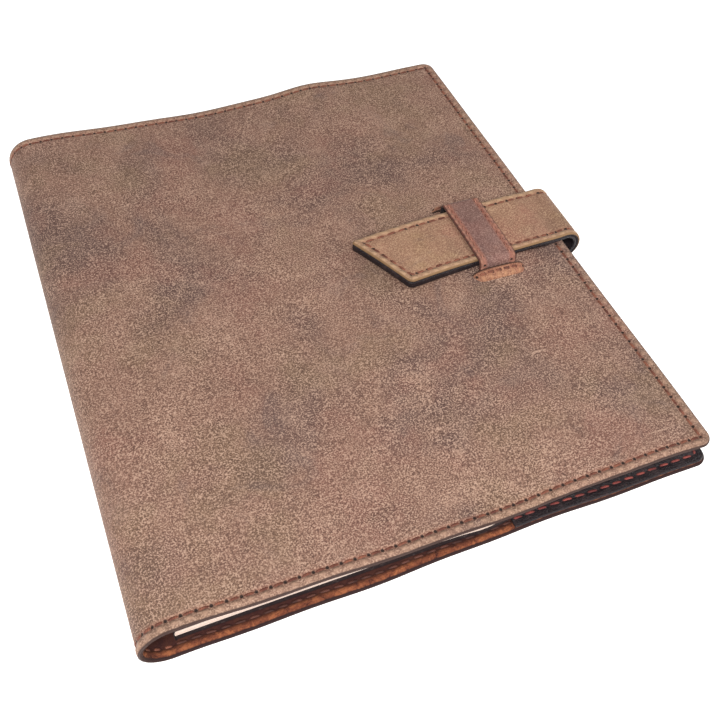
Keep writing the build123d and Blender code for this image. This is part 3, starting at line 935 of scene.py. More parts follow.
@dataclass(frozen=True)
class CardFinish:
    """Dark pressed card with pale flecks, used for the notebook's covers and binding, and as painted shade on
    its lowest leaves.
    """

    name: str = "card"
    base: Colour = (0.019, 0.011, 0.012)
    fleck: Colour = (0.060, 0.042, 0.040)

    def material(self) -> bpy.types.Material:
        """Build the material: a fleck noise for colour and a fibre noise for relief.

        Returns:
            The material.
        """
        n = Nodes(self.name)
        fleck, fibre = n.noise(420.0, 4.0, 0.7), n.noise(1600.0, 2.0, 0.6)
        colour = n.mix(n.span(fleck, 0.56, 0.70), self.base, self.fleck)
        return n.finish(Base_Color=colour, Roughness=n.span(fleck, 0.3, 0.7, 0.55, 0.75),
                        Normal=n.bump(fibre, 0.00008, 0.5), Specular_IOR_Level=0.3)


@dataclass
class Palette:
    """Every finish of the cover, built once."""

    hide: bpy.types.Material
    suede: bpy.types.Material
    lining: bpy.types.Material
    strap: bpy.types.Material
    keeper: bpy.types.Material
    lip: bpy.types.Material
    thread: bpy.types.Material
    dark_thread: bpy.types.Material
    pale_thread: bpy.types.Material
    painted_shade_thread: bpy.types.Material
    paper: bpy.types.Material
    card: bpy.types.Material

    @staticmethod
    def mixed() -> "Palette":
        """Mix all the finishes."""
        strap = HideFinish("strap_hide", base=(0.280, 0.152, 0.096), light=(0.56, 0.375, 0.24),
                           dark=(0.105, 0.054, 0.034), patch=(0.205, 0.112, 0.074),
                           olive=(0.275, 0.175, 0.085), rosy=(0.300, 0.128, 0.090),
                           edge=(0.215, 0.125, 0.062), worn=(0.42, 0.27, 0.16),
                           edge_wear=0.5, seam_wear=0.35, grain=0.5)
        keeper = HideFinish("keeper_hide", base=(0.170, 0.090, 0.074), light=(0.42, 0.27, 0.22),
                            dark=(0.065, 0.030, 0.026), patch=(0.135, 0.075, 0.070),
                            olive=(0.165, 0.095, 0.072), rosy=(0.205, 0.090, 0.072),
                            edge=(0.10, 0.036, 0.026), worn=(0.36, 0.165, 0.105),
                            rust=(0.28, 0.105, 0.070), edge_wear=0.55, seam_wear=0.55, grain=0.45)
        # the lip's slit share paints shade along the slit beside the keeper
        lip = HideFinish("keeper_lip", base=(0.27, 0.118, 0.070), light=(0.50, 0.28, 0.17),
                         dark=(0.09, 0.034, 0.022), patch=(0.23, 0.095, 0.056), olive=(0.25, 0.125, 0.070),
                         rosy=(0.28, 0.105, 0.066), edge=(0.20, 0.080, 0.045), under=(0.020, 0.009, 0.007),
                         worn=(0.42, 0.21, 0.115), edge_wear=0.4, seam_wear=0.3, grain=0.6, slit=0.95)
        pocket_thread = ThreadFinish("pocket_thread", base=(0.15, 0.028, 0.026), light=(0.34, 0.075, 0.060))
        keeper_thread = ThreadFinish("keeper_thread", base=(0.26, 0.090, 0.062), light=(0.46, 0.20, 0.14))
        # painted shade: the inside stitches are the same rust thread made darker, for the shade inside the
        # back cover
        painted_shade_thread = ThreadFinish("painted_shade_thread", base=(0.055, 0.018, 0.013), light=(0.13, 0.045, 0.030))
        return Palette(HideFinish().material(), SuedeFinish().material(), LiningFinish().material(),
                       strap.material(), keeper.material(), lip.material(), ThreadFinish().material(),
                       pocket_thread.material(), keeper_thread.material(), painted_shade_thread.material(),
                       PaperFinish().material(), CardFinish().material())


def report(obj: bpy.types.Object) -> bpy.types.Object:
    """Log the piece's name and number of faces.

    Args:
        obj: The finished piece.

    Returns:
        The same piece.
    """
    LOG.info("%s: %d faces", obj.name, len(obj.data.polygons))
    return obj


# ---- Sub-assemblies -----------------------------------------------------------------------------
@dataclass
class Hide:
    """The one hide of the cover, as a back, four strips round the spine bend, and a front."""

    surface: CoverSurface
    palette: Palette
    rng: np.random.Generator
    step: float = 2.0
    groove: float = 0.38

    def seam(self, s: Array, y: Array) -> tuple[Array, Array]:
        """Position along and distance from the cover's seam.

        The seam runs along both ends at the seam inset, and down both fore-edges. Along is in
        pitches and the distance is positive towards the cut edge.

        Args:
            s: Section length.
            y: Position along the height.

        Returns:
            Along and across.
        """
        c = self.surface
        to_side = HALF_HEIGHT - SEAM_INSET - np.abs(y)
        to_fore = np.where(s < 0, s - (c.back_end + SEAM_INSET), c.front_end - SEAM_INSET - s)
        across = -np.minimum(to_side, to_fore)
        ends = to_side < to_fore
        along = np.where(ends, c.holes_to(s), (y + SEAM_LINE) / (2 * SEAM_LINE) * SIDE_HOLES)
        return along, across

    def relief(self, s: Array, y: Array, rim: Array, outer: bool) -> Array:
        """Groove of the seam on both faces, with the leather puffed up outside it.

        Args:
            s: Section length.
            y: Position along the height; not used.
            rim: Distance to the cut edge.
            outer: The outer face, or the inner one.

        Returns:
            Height to add.
        """
        depth = self.groove * bump_at(rim, SEAM_INSET, 0.8)
        puff = 0.22 * bump_at(rim, 2.1, 1.1)
        return puff * ease(s, -4.0, 10.0) - depth if outer else depth - puff

    def slab(self, low: float, high: float, rim_low: bool, rim_high: bool) -> Shape:
        """One length of the hide.

        Args:
            low: Section length where it starts.
            high: Section length where it ends.
            rim_low: Its start is a cut edge.
            rim_high: Its end is a cut edge.

        Returns:
            The closed length of hide.
        """
        step = self.step if high - low > BEND_LENGTH else BEND_LENGTH / 4 / 12
        u = graded(low, high, step, rim_low, rim_high)
        v = graded(-HALF_HEIGHT, HALF_HEIGHT, 3.2, True, True)
        return Slab(self.surface.place, u, v, -LEATHER, 0.0, (rim_low, rim_high, True, True), CORNER_RADIUS,
                    round=0.75, relief=self.relief, seam=self.seam).build()

    def build(self) -> None:
        """Build and dress the hide's pieces."""
        c = self.surface
        materials = [self.palette.hide, self.palette.suede]
        back = self.slab(c.back_end, 0.0, True, False).to_object("back_hide", materials)
        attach(back, "back")
        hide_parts("back_panel")
        report(back)
        front = self.slab(c.front_start, c.front_end, False, True).to_object("front_hide", materials)
        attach(front, "front")
        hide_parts("front_panel")
        report(front)
        quarter = BEND_LENGTH / FOLDS
        for k in range(FOLDS):
            low, high = k * quarter, (k + 1) * quarter
            piece = self.slab(low, high, False, False).to_object(f"spine_hide_{k + 1}", materials)
            start, end = c.anchor(low), c.anchor(high)
            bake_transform(piece)
            if k < 3:
                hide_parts(f"spine_strip_{k + 1}")
            report(piece)


@dataclass
class CoverSeams:
    """Stitches round the cover: over the front, round the spine's two ends and inside the back."""

    surface: CoverSurface
    palette: Palette
    rng: np.random.Generator
    line: float = SEAM_LINE

    def rows(self, name: str, corner: float, bend: float, lift: float, up: float, arch: float,
             thread: bpy.types.Material) -> bpy.types.Object:
        """The three rows of one cover as an object: both ends and the fore-edge, hole for hole.

        Args:
            name: The object's name.
            corner: Section length of the fore-edge row.
            bend: Section length where the cover meets the spine bend.
            lift: Height of the stitches.
            up: 1 on the outer face, -1 on the inner one.
            arch: How far the middle of a stitch rides higher than its ends.
            thread: The thread's finish.

        Returns:
            The finished rows.
        """
        holes = self.surface.holes_to(corner) - self.surface.holes_to(bend)
        end_pitch = abs(corner - bend) / abs(float(holes))
        side_pitch = 2 * self.line / SIDE_HOLES
        low, high = min(corner, bend), max(corner, bend)
        lines = [((low, -self.line), (high, -self.line), end_pitch),
                 ((low, self.line), (high, self.line), end_pitch),
                 ((corner, -self.line), (corner, self.line), side_pitch)]
        shapes = [StitchRow(self.surface.place, Route([a, b]), lift, self.rng, up=up, arch=arch,
                            pitch=pitch).build() for a, b, pitch in lines]
        return report(Shape.joined(shapes).to_object(name, [thread]))

    def build(self) -> None:
        """Build and dress every seam of the hide."""
        c = self.surface
        back_corner, front_corner = c.seam_ends()
        front = self.rows("front_edge_stitches", front_corner, BEND_LENGTH, -0.30, 1.0, 0.42,
                          self.palette.thread)
        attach(front, "front")
        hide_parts("front_edge_thread")
        # the inside rows take the darker thread, painted shade for the inside of the back cover
        inside = self.rows("back_edge_stitches_inside", back_corner, 0.0, -LEATHER + 0.05, -1.0, 0.30,
                           self.palette.painted_shade_thread)
        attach(inside, "back")
        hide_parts("back_edge_thread")
        under = self.rows("back_edge_stitches_outside", back_corner, 0.0, -0.44, 1.0, 0.18,
                          self.palette.thread)
        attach(under, "back")
        quarter = BEND_LENGTH / FOLDS
        faces = ((-0.28, 3.5, 1.0), (-LEATHER + 0.28, 3.2, -1.0))
        for k in range(FOLDS):
            low, high = k * quarter, (k + 1) * quarter
            rows = [StitchRow(c.place, Route([(low, y), (high, y)]), lift, self.rng, pitch=quarter / 2,
                              length=length, up=up).build()
                    for lift, length, up in faces for y in (-self.line, self.line)]
            piece = Shape.joined(rows).to_object(f"spine_stitches_{k + 1}", [self.palette.thread])
            start, end = c.anchor(low), c.anchor(high)
            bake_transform(piece)
            if k < 3:
                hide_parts(f"spine_thread_{k + 1}")
            report(piece)


@dataclass
class Pockets:
    """Two thin lining pockets sewn inside the fore-edge part of each cover."""

    surface: CoverSurface
    palette: Palette
    rng: np.random.Generator
    leather: float = 1.2
    inset: float = 0.8
    back_gap: float = 0.9
    front_gap: float = 2.1
    row_inset: float = 3.0
    sewn: tuple[float, float] = (3.6, 9.0)
    root: tuple[float, float] = (88.25, 18.0)
    root_stand: float = 1.4

    def build_side(self, side: Side) -> None:
        """Build one pocket and its stitches.

        The lining lies on the hide along its three sewn sides and stands off it by the gap in the
        middle. Its free edge curls away from the cover.

        Args:
            side: The cover that it is sewn to.
        """
        c = self.surface
        front = side is Side.FRONT
        gap = self.front_gap if front else self.back_gap
        free = float(c.s_of(POCKET_EDGE_X, side))
        fore = c.front_end - self.inset if front else c.back_end + self.inset
        low, high = min(free, fore), max(free, fore)
        side_line = HALF_HEIGHT - self.inset

        def place(u: Array, v: Array, lift: Array) -> Array:
            """The hide's inner face, moved inwards by the gap away from the sewn sides.

            The front's sheet keeps about a third of the hide's humps as well, and the back's
            stands off the strap's root.
            """
            sewn = np.minimum(side_line - np.abs(v), np.abs(u - fore))
            loose = ease(sewn, *self.sewn)
            stand = gap * loose
            if front:
                stand = stand + 0.35 * np.clip(c.relief(u, v), 0.0, None) * loose
            else:
                x = SPINE_X - u
                root_x, root_half = self.root
                over = ease(-np.abs(v - STRAP_Y), -root_half - 2.0, -root_half + 2.0)
                stand = np.maximum(stand, self.root_stand * ease(x, root_x - 6, root_x) * over)
            curl = 0.9 * bump_at(u, free, 2.6) * ease(sewn, 0.0, 14.0)
            return c.place(u, v, -LEATHER - stand - curl + lift)

        u = graded(low, high, 2.4, True, True)
        v = graded(-side_line, side_line, 4.0, True, True)

        def relief(a: Array, b: Array, rim: Array, outer: bool) -> Array:
            """The seam's groove, on the face away from the hide."""
            return (0.0 if outer else 0.22) * bump_at(rim, SEAM_INSET - self.inset, 0.6)

        slab = Slab(place, u, v, -self.leather, -0.02, ALL_RIMS, CORNER_RADIUS - self.inset,
                    (not front, front), 0.45, relief)
        sheet = slab.build().to_object(f"{side.value}_pocket_lining", [self.palette.lining] * 2)
        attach(sheet, side.value)
        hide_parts(f"{side.value}_pocket")
        report(sheet)
        line = SEAM_LINE
        towards = 1 if front else -1
        row_u = free + self.row_inset * towards
        fore_row = fore - (SEAM_INSET - self.inset) * towards
        routes = [Route([(row_u, -line + PITCH), (row_u, line - PITCH)]),
                  Route([(free, -line), (fore_row, -line), (fore_row, line), (free, line)])]
        rows = [StitchRow(place, route, -self.leather + 0.05, self.rng, up=-1.0, arch=0.25).build()
                for route in routes]
        stitches = Shape.joined(rows).to_object(f"{side.value}_pocket_stitches",
                                                [self.palette.dark_thread])
        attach(stitches, side.value)
        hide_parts(f"{side.value}_pocket_thread")
        report(stitches)

    def build(self) -> None:
        """Build both pockets."""
        for side in Side:
            self.build_side(side)


@dataclass
class Notebook:
    """A composition notebook: card covers, a bound spine and a block of leaves."""

    surface: CoverSurface
    palette: Palette
    rng: np.random.Generator
    height: float = 245.5
    spine_x: float = -101.65
    fore_x: float = 86.35
    card: float = 0.5
    leaf_low: float = 2.3
    leaves: float = 5.4
    climb: float = 2.3
    gatherings: int = 16
    painted_shade_gatherings: int = 7
    card_low: float = 8.0
    slide: float = -3.35
    hump_share: float = 0.2
    dip_share: float = 0.55

    def path(self, x: Array) -> Array:
        """Height of the block's underside: level, a smooth climb on to the back pocket, level again."""
        return self.leaf_low + self.climb * ease(x, POCKET_EDGE_X - 14.0, POCKET_EDGE_X - 1.0)

    def front_card_path(self, x: Array) -> Array:
        """Height of the front card: level over the leaves, then a smooth rise into the front pocket."""
        bend = SPINE_X + 85.0
        in_pocket = clamped_spline(CoverSurface.FRONT_KNOTS, x) + self.slide
        target = 16.6 + self.slide
        ramp = self.card_low + (target - self.card_low) * ease(x, bend - 12.0, POCKET_EDGE_X + 6.0)
        share = ease(x, POCKET_EDGE_X - 8.0, POCKET_EDGE_X + 12.0)
        return ramp * (1 - share) + in_pocket * share

    def sheet(self, low: float, thick: float, path: Callable[[Array], Array], fore: float, half: float,
              lean: float = 0.0, in_pocket: bool = False) -> Shape:
        """One flat sheet over a path of heights.

        Args:
            low: Height of its underside above the path.
            thick: Its thickness.
            path: Height of the path at each x.
            fore: Its fore-edge.
            half: Half its height along Y.
            lean: Shift along Y.
            in_pocket: It takes on part of the front's unevenness inside the front pocket.

        Returns:
            The sheet.
        """
        u = np.concatenate([np.linspace(self.spine_x, -26.0, 12), np.linspace(-24.0, 44.0, 30),
                            np.linspace(48.0, fore, 8)])
        v = np.linspace(-half, half, 24) + lean

        def place(a: Array, b: Array, lift: Array) -> Array:
            """The path's point plus the lift straight up; the book lies very slightly askew."""
            skew = 0.65 * (2.0 * ease(a, -110.0, 20.0) - 1.0) + 1.0 * bump_at(a, 14.0, 10.0)
            turned = b - skew + 1.5 * ease(a, 20.0, 36.0)
            relief = self.surface.relief(self.surface.s_of(a), b)
            shared = np.where(relief > 0, self.hump_share, self.dip_share) * relief
            uneven = shared * ease(a, POCKET_EDGE_X - 8.0, POCKET_EDGE_X + 12.0) * in_pocket
            return np.stack([a, turned, path(a) + low + lift + uneven], -1)

        return Slab(place, u, v, 0.0, thick, NO_RIMS).build()

    def build(self) -> None:
        """Build the leaves as many thin gatherings, the lowest ones in the dark card finish as painted shade
        under the block, then the cards and the binding.
        """
        thick = self.leaves / self.gatherings
        parts = []
        for k in range(self.gatherings):
            fore = self.fore_x - abs(float(self.rng.normal(0.0, 0.25))) - 0.3
            half = self.height / 2 - abs(float(self.rng.normal(0.0, 0.18)))
            lean = float(self.rng.normal(0, 0.08))
            sheet = self.sheet(k * thick, thick * 0.93, self.path, fore, half, lean)
            # painted shade: the lowest gatherings take the dark card finish, standing for the shadow on the
            # lower leaves
            sheet.slots = np.full(len(sheet.quads), int(k < self.painted_shade_gatherings))
            parts.append(sheet)
        leaves = Shape.joined(parts).to_object("notebook_leaf_block",
                                               [self.palette.paper, self.palette.card], 40.0)
        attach(leaves, "back")
        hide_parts("notebook_leaves")
        report(leaves)
        half = self.height / 2
        lower = self.sheet(-self.card, self.card, self.path, self.fore_x, half)
        upper = self.sheet(0.0, self.card, self.front_card_path, self.fore_x, half, in_pocket=True)
        cards = {
            "notebook_lower_card": (lower, "back", "notebook_back_card"),
            "notebook_upper_card": (upper, "front_card", "notebook_front_card"),
        }
        for name, (shape, body, node) in cards.items():
            obj = shape.to_object(name, [self.palette.card, self.palette.card], 40.0)
            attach(obj, body)
            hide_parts(node)
            report(obj)
        self.build_binding()

    def build_binding(self) -> None:
        """Cloth binding: a thin strip bent round the spine in a U, rounded at its two folds."""
        low, high = LEATHER + 0.05, self.leaf_low + self.leaves + 0.12
        mid, half = (low + high) / 2, (high - low) / 2

        def place(u: Array, v: Array, lift: Array) -> Array:
            """Half a superellipse: u turns from the lower lip to the upper one."""
            angle = u * math.pi / 2
            reach = 0.5 + lift
            x = self.spine_x + 0.35 - (reach + 0.3) * np.abs(np.cos(angle)) ** 0.5
            z = mid + (half + lift * 0.3) * np.sign(np.sin(angle)) * np.abs(np.sin(angle)) ** 0.7
            return np.stack([x, v, z], -1)

        u = np.linspace(-1.0, 1.0, 25)
        v = np.linspace(-self.height / 2 + 0.3, self.height / 2 - 0.3, 40)
        shape = Slab(place, u, v, -0.28, 0.0, NO_RIMS).build()
        obj = shape.to_object("notebook_spine_cloth", [self.palette.card, self.palette.card], 40.0)
        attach(obj, "back")
        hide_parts("notebook_binding")
        report(obj)


@dataclass
class Strap:
    """Two leathers sewn together: a tongue on the front, a bend round the fore-edge and a root."""

    surface: CoverSurface
    palette: Palette
    rng: np.random.Generator
    bend_x: float = 104.55
    bend_z: float = 10.3
    inner: float = 4.9
    tip_far: tuple[float, float] = (13.25, 12.6)
    tip_near: tuple[float, float] = (27.85, -18.5)
    tip_radius: float = 1.5
    root_left: float = 89.75
    seam_inset: float = 3.2
    groove: float = 0.30
    lean_x: float = 0.28
    lean_y: float = 0.70
    spring: float = 3.0
    span: float = 80.0

    def edge_y(self, x: Array, far: bool) -> Array:
        """Where a long edge of the strap runs: straight from the tip to the bend, level beyond it."""
        tip = self.tip_far if far else self.tip_near
        root = STRAP_Y + STRAP_WIDTH / 2 * (1 if far else -1)
        return np.interp(x, [tip[0], self.bend_x], [tip[1], root])

    def section(self, t: Array, lift: Array, y: Array) -> Array:
        """Point of the strap: t is the length from where the bend starts, negative on the front.

        On the front it follows the cover's surface at the strap's clearance. Past the cover's edge
        it runs level, then turns half a circle of radius inner plus lift, and ends flat below.

        Args:
            t: Length from the start of the bend.
            lift: Height above the lining's inner face.
            y: Position along the cover's height.

        Returns:
            The points.
        """
        x = self.bend_x + np.minimum(t, 0.0)
        on_front = self.surface.place(self.surface.s_of(x), y, lift + STRAP_LIFT)
        level = self.bend_z + self.inner + lift
        share = ease(x, FORE_X - 7.0, self.bend_x)
        top_z = on_front[..., 2] * (1 - share) + level * share
        turn = np.clip(t / self.inner, 0.0, math.pi)
        radius = self.inner + lift
        bent_x = self.bend_x + radius * np.sin(turn)
        bent_z = self.bend_z + radius * np.cos(turn)
        under = np.clip(t - math.pi * self.inner, 0.0, None)
        px = np.where(t < 0, x, bent_x - under)
        pz = np.where(t < 0, top_z, bent_z)
        return np.stack([px, y + 0 * px, pz], -1)

    def place(self, u: Array, v: Array, lift: Array) -> Array:
        """Point of the strap by shares of its length and width.

        Up to the bend, u is a share of the way from the slanted tip to the bend; past it, u - 1 is
        the length round the bend over the span. Away from the keeper the tongue springs up, and it
        leans towards the tip and the near end in proportion.

        Args:
            u: From 0 at the tip to 1 where the bend starts, and on.
            v: Across, from -1 at the near edge to 1 at the far one.
            lift: Height above the lining's inner face.

        Returns:
            The points.
        """
        share = np.minimum(u, 1.0)
        side = (v + 1) / 2
        tip_x = self.tip_near[0] + (self.tip_far[0] - self.tip_near[0]) * side
        x = tip_x + (self.bend_x - tip_x) * share
        y = self.edge_y(x, False) * (1 - side) + self.edge_y(x, True) * side
        arch = 0.35 * (1 - v**2) * ease(-x, -FORE_X, -POCKET_EDGE_X)
        t = np.where(u < 1, x - self.bend_x, (u - 1) * self.span)
        free = 1.0 - bump_at(x, KEEPER_X, 17.0)
        spring = self.spring * free * ease(x, self.bend_x, self.bend_x - 16.0) * (u < 1)
        t = np.where(u < 1, t - self.lean_x * spring, t)
        return self.section(t, lift + arch + spring, y - self.lean_y * spring)

    def anchor(self, u: float) -> Vector:
        """Middle of the strap at u, in metres, where a fold starts or ends."""
        return Vector(self.place(np.array(u), np.array(0.0), np.array(1.6)) * MM)

    def layer_slab(self, layer: Layer, u: Array, rims: tuple[bool, bool, bool, bool]) -> Shape:
        """One leather of the strap over a range of u.

        Args:
            layer: The lining or the outer leather.
            u: Grid lines along the strap.
            rims: Which of the four sides are cut edges.

        Returns:
            The closed piece.
        """
        low = 0.0 if layer is Layer.LINING else STRAP_LAYERS[0] + 0.02
        high = STRAP_LAYERS[0] if layer is Layer.LINING else sum(STRAP_LAYERS)
        rim_line = np.array([0.0, 0.005, 0.014, 0.027, 0.045, 0.08, 0.12, 0.155, 0.18, 0.2, 0.22, 0.25, 0.30])
        v = np.concatenate([-1 + rim_line, np.linspace(-0.62, 0.62, 13), 1 - rim_line[::-1]])
        wide = STRAP_WIDTH / 2

        def place(a: Array, b: Array, lift: Array) -> Array:
            """The strap's own mapping, with the grid's millimetres turned to shares."""
            return self.place(a / self.span, b / wide, lift)

        def seam(a: Array, b: Array) -> tuple[Array, Array]:
            """Along and across the strap's seam, which follows both long edges and the tip."""
            side = wide - self.seam_inset - np.abs(b)
            tip = a - self.seam_inset
            ends = tip < side
            return np.where(ends, b, a - self.seam_inset) / PITCH + 0.5, -np.minimum(side, tip)

        def relief(a: Array, b: Array, rim: Array, outer: bool) -> Array:
            """Groove along the seam and leather puffed up outside it, on the outward faces only; on the
            lining's underside, away from the keeper and the bend, up to 1.6 mm of extra black lining, painted
            shade for the shaded gap under the springing tongue.
            """
            if layer is Layer.OUTER and outer:
                return -self.groove * bump_at(rim, self.seam_inset, 0.7) + 0.12 * bump_at(rim, 1.6, 0.9)
            # painted shade: extra black lining fills the gap under the tongue, where there is only shade
            if layer is Layer.LINING and not outer:
                return -1.6 * (1.0 - bump_at(a, 52.0, 20.0)) * ease(a, self.span, self.span - 16.0)
            return np.zeros_like(a)

        return Slab(place, u * self.span, v * wide, low, high, rims, self.tip_radius * 1.3, round=0.6,
                    relief=relief, seam=seam).build()

    def build(self) -> None:
        """Build the tongue, the four lengths of the bend and the root, each in its leathers."""
        materials = {Layer.OUTER: [self.palette.strap, self.palette.strap],
                     Layer.LINING: [self.palette.lining, self.palette.lining]}
        tongue_u = graded(0.0, self.span, 1.6, True, False) / self.span
        quarter = math.pi * self.inner / FOLDS / self.span
        for layer in Layer:
            piece = self.layer_slab(layer, tongue_u, (True, False, True, True)).to_object(
                f"tongue_{layer.value}", materials[layer])
            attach(piece, "tongue")
            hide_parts(f"strap_tongue_{layer.value}")
            report(piece)
            for k in range(FOLDS):
                u = 1.0 + quarter * np.linspace(k, k + 1, 13)
                bend = self.layer_slab(layer, u, (False, False, True, True)).to_object(
                    f"strap_bend_{k + 1}_{layer.value}", materials[layer])
                if k > 0:
                    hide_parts(f"strap_link_{4 - k}_{layer.value}")
                start, end = (self.anchor(1.0 + quarter * j) for j in (k, k + 1))
                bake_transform(bend)
                report(bend)
        self.build_root(materials)
        self.build_stitches(quarter)

    def build_root(self, materials: dict[Layer, list[bpy.types.Material]]) -> None:
        """The skived end: it thins from the bend to the seam and drops on to the back cover.

        Args:
            materials: The two finishes of each leather.
        """
        end = self.bend_x - self.root_left
        low = self.bend_z - self.inner - sum(STRAP_LAYERS)

        def place(u: Array, v: Array, lift: Array) -> Array:
            """A flat tongue whose thickness and height ease down over the first millimetres."""
            skive = ease(u, 0.0, 6.0)
            base = low * (1 - skive) + 1.86 * skive
            thick = 1.0 - skive * (1 - 1.35 / sum(STRAP_LAYERS))
            return np.stack([self.bend_x - u, v, base + lift * thick], -1)

        u = np.linspace(0.0, end, 26)
        v = STRAP_Y + np.concatenate([-STRAP_WIDTH / 2 + np.array([0.0, 0.15, 0.4, 0.8]),
                                      np.linspace(-13, 13, 12),
                                      STRAP_WIDTH / 2 - np.array([0.8, 0.4, 0.15, 0.0])])
        root = Slab(place, u, v, 0.0, sum(STRAP_LAYERS), (False, False, True, True), round=0.6).build()
        obj = root.to_object("strap_root_end", materials[Layer.OUTER])
        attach(obj, "back")
        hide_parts("strap_root")
        report(obj)

    def build_stitches(self, quarter: float) -> None:
        """The strap's seam on its outer face: round the tongue, and on round the bend.

        Args:
            quarter: One fold of the bend, in shares of the span.
        """
        wide = STRAP_WIDTH / 2
        line = wide - self.seam_inset

        def place(a: Array, b: Array, lift: Array) -> Array:
            """The strap's mapping with millimetres for both directions."""
            return self.place(a / self.span, b / wide, lift)

        top = sum(STRAP_LAYERS) - 0.18
        route = Route([(self.span, -line), (self.seam_inset, -line), (self.seam_inset, line),
                       (self.span, line)])
        rows = [StitchRow(place, route, top, self.rng, pitch=4.4, length=3.4).build()]
        tongue = Shape.joined(rows).to_object("tongue_stitches", [self.palette.thread])
        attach(tongue, "tongue")
        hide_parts("strap_tongue_thread")
        report(tongue)
        for k in range(FOLDS):
            low, high = (self.span * (1.0 + quarter * j) for j in (k, k + 1))
            rows = [StitchRow(place, Route([(low, y), (high, y)]), top, self.rng, pitch=high - low,
                              length=2.2, arch=0.30).build() for y in (-line, line)]
            piece = Shape.joined(rows).to_object(f"strap_bend_{k + 1}_stitches", [self.palette.thread])
            start, end = (self.anchor(1.0 + quarter * j) for j in (k, k + 1))
            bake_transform(piece)
            report(piece)


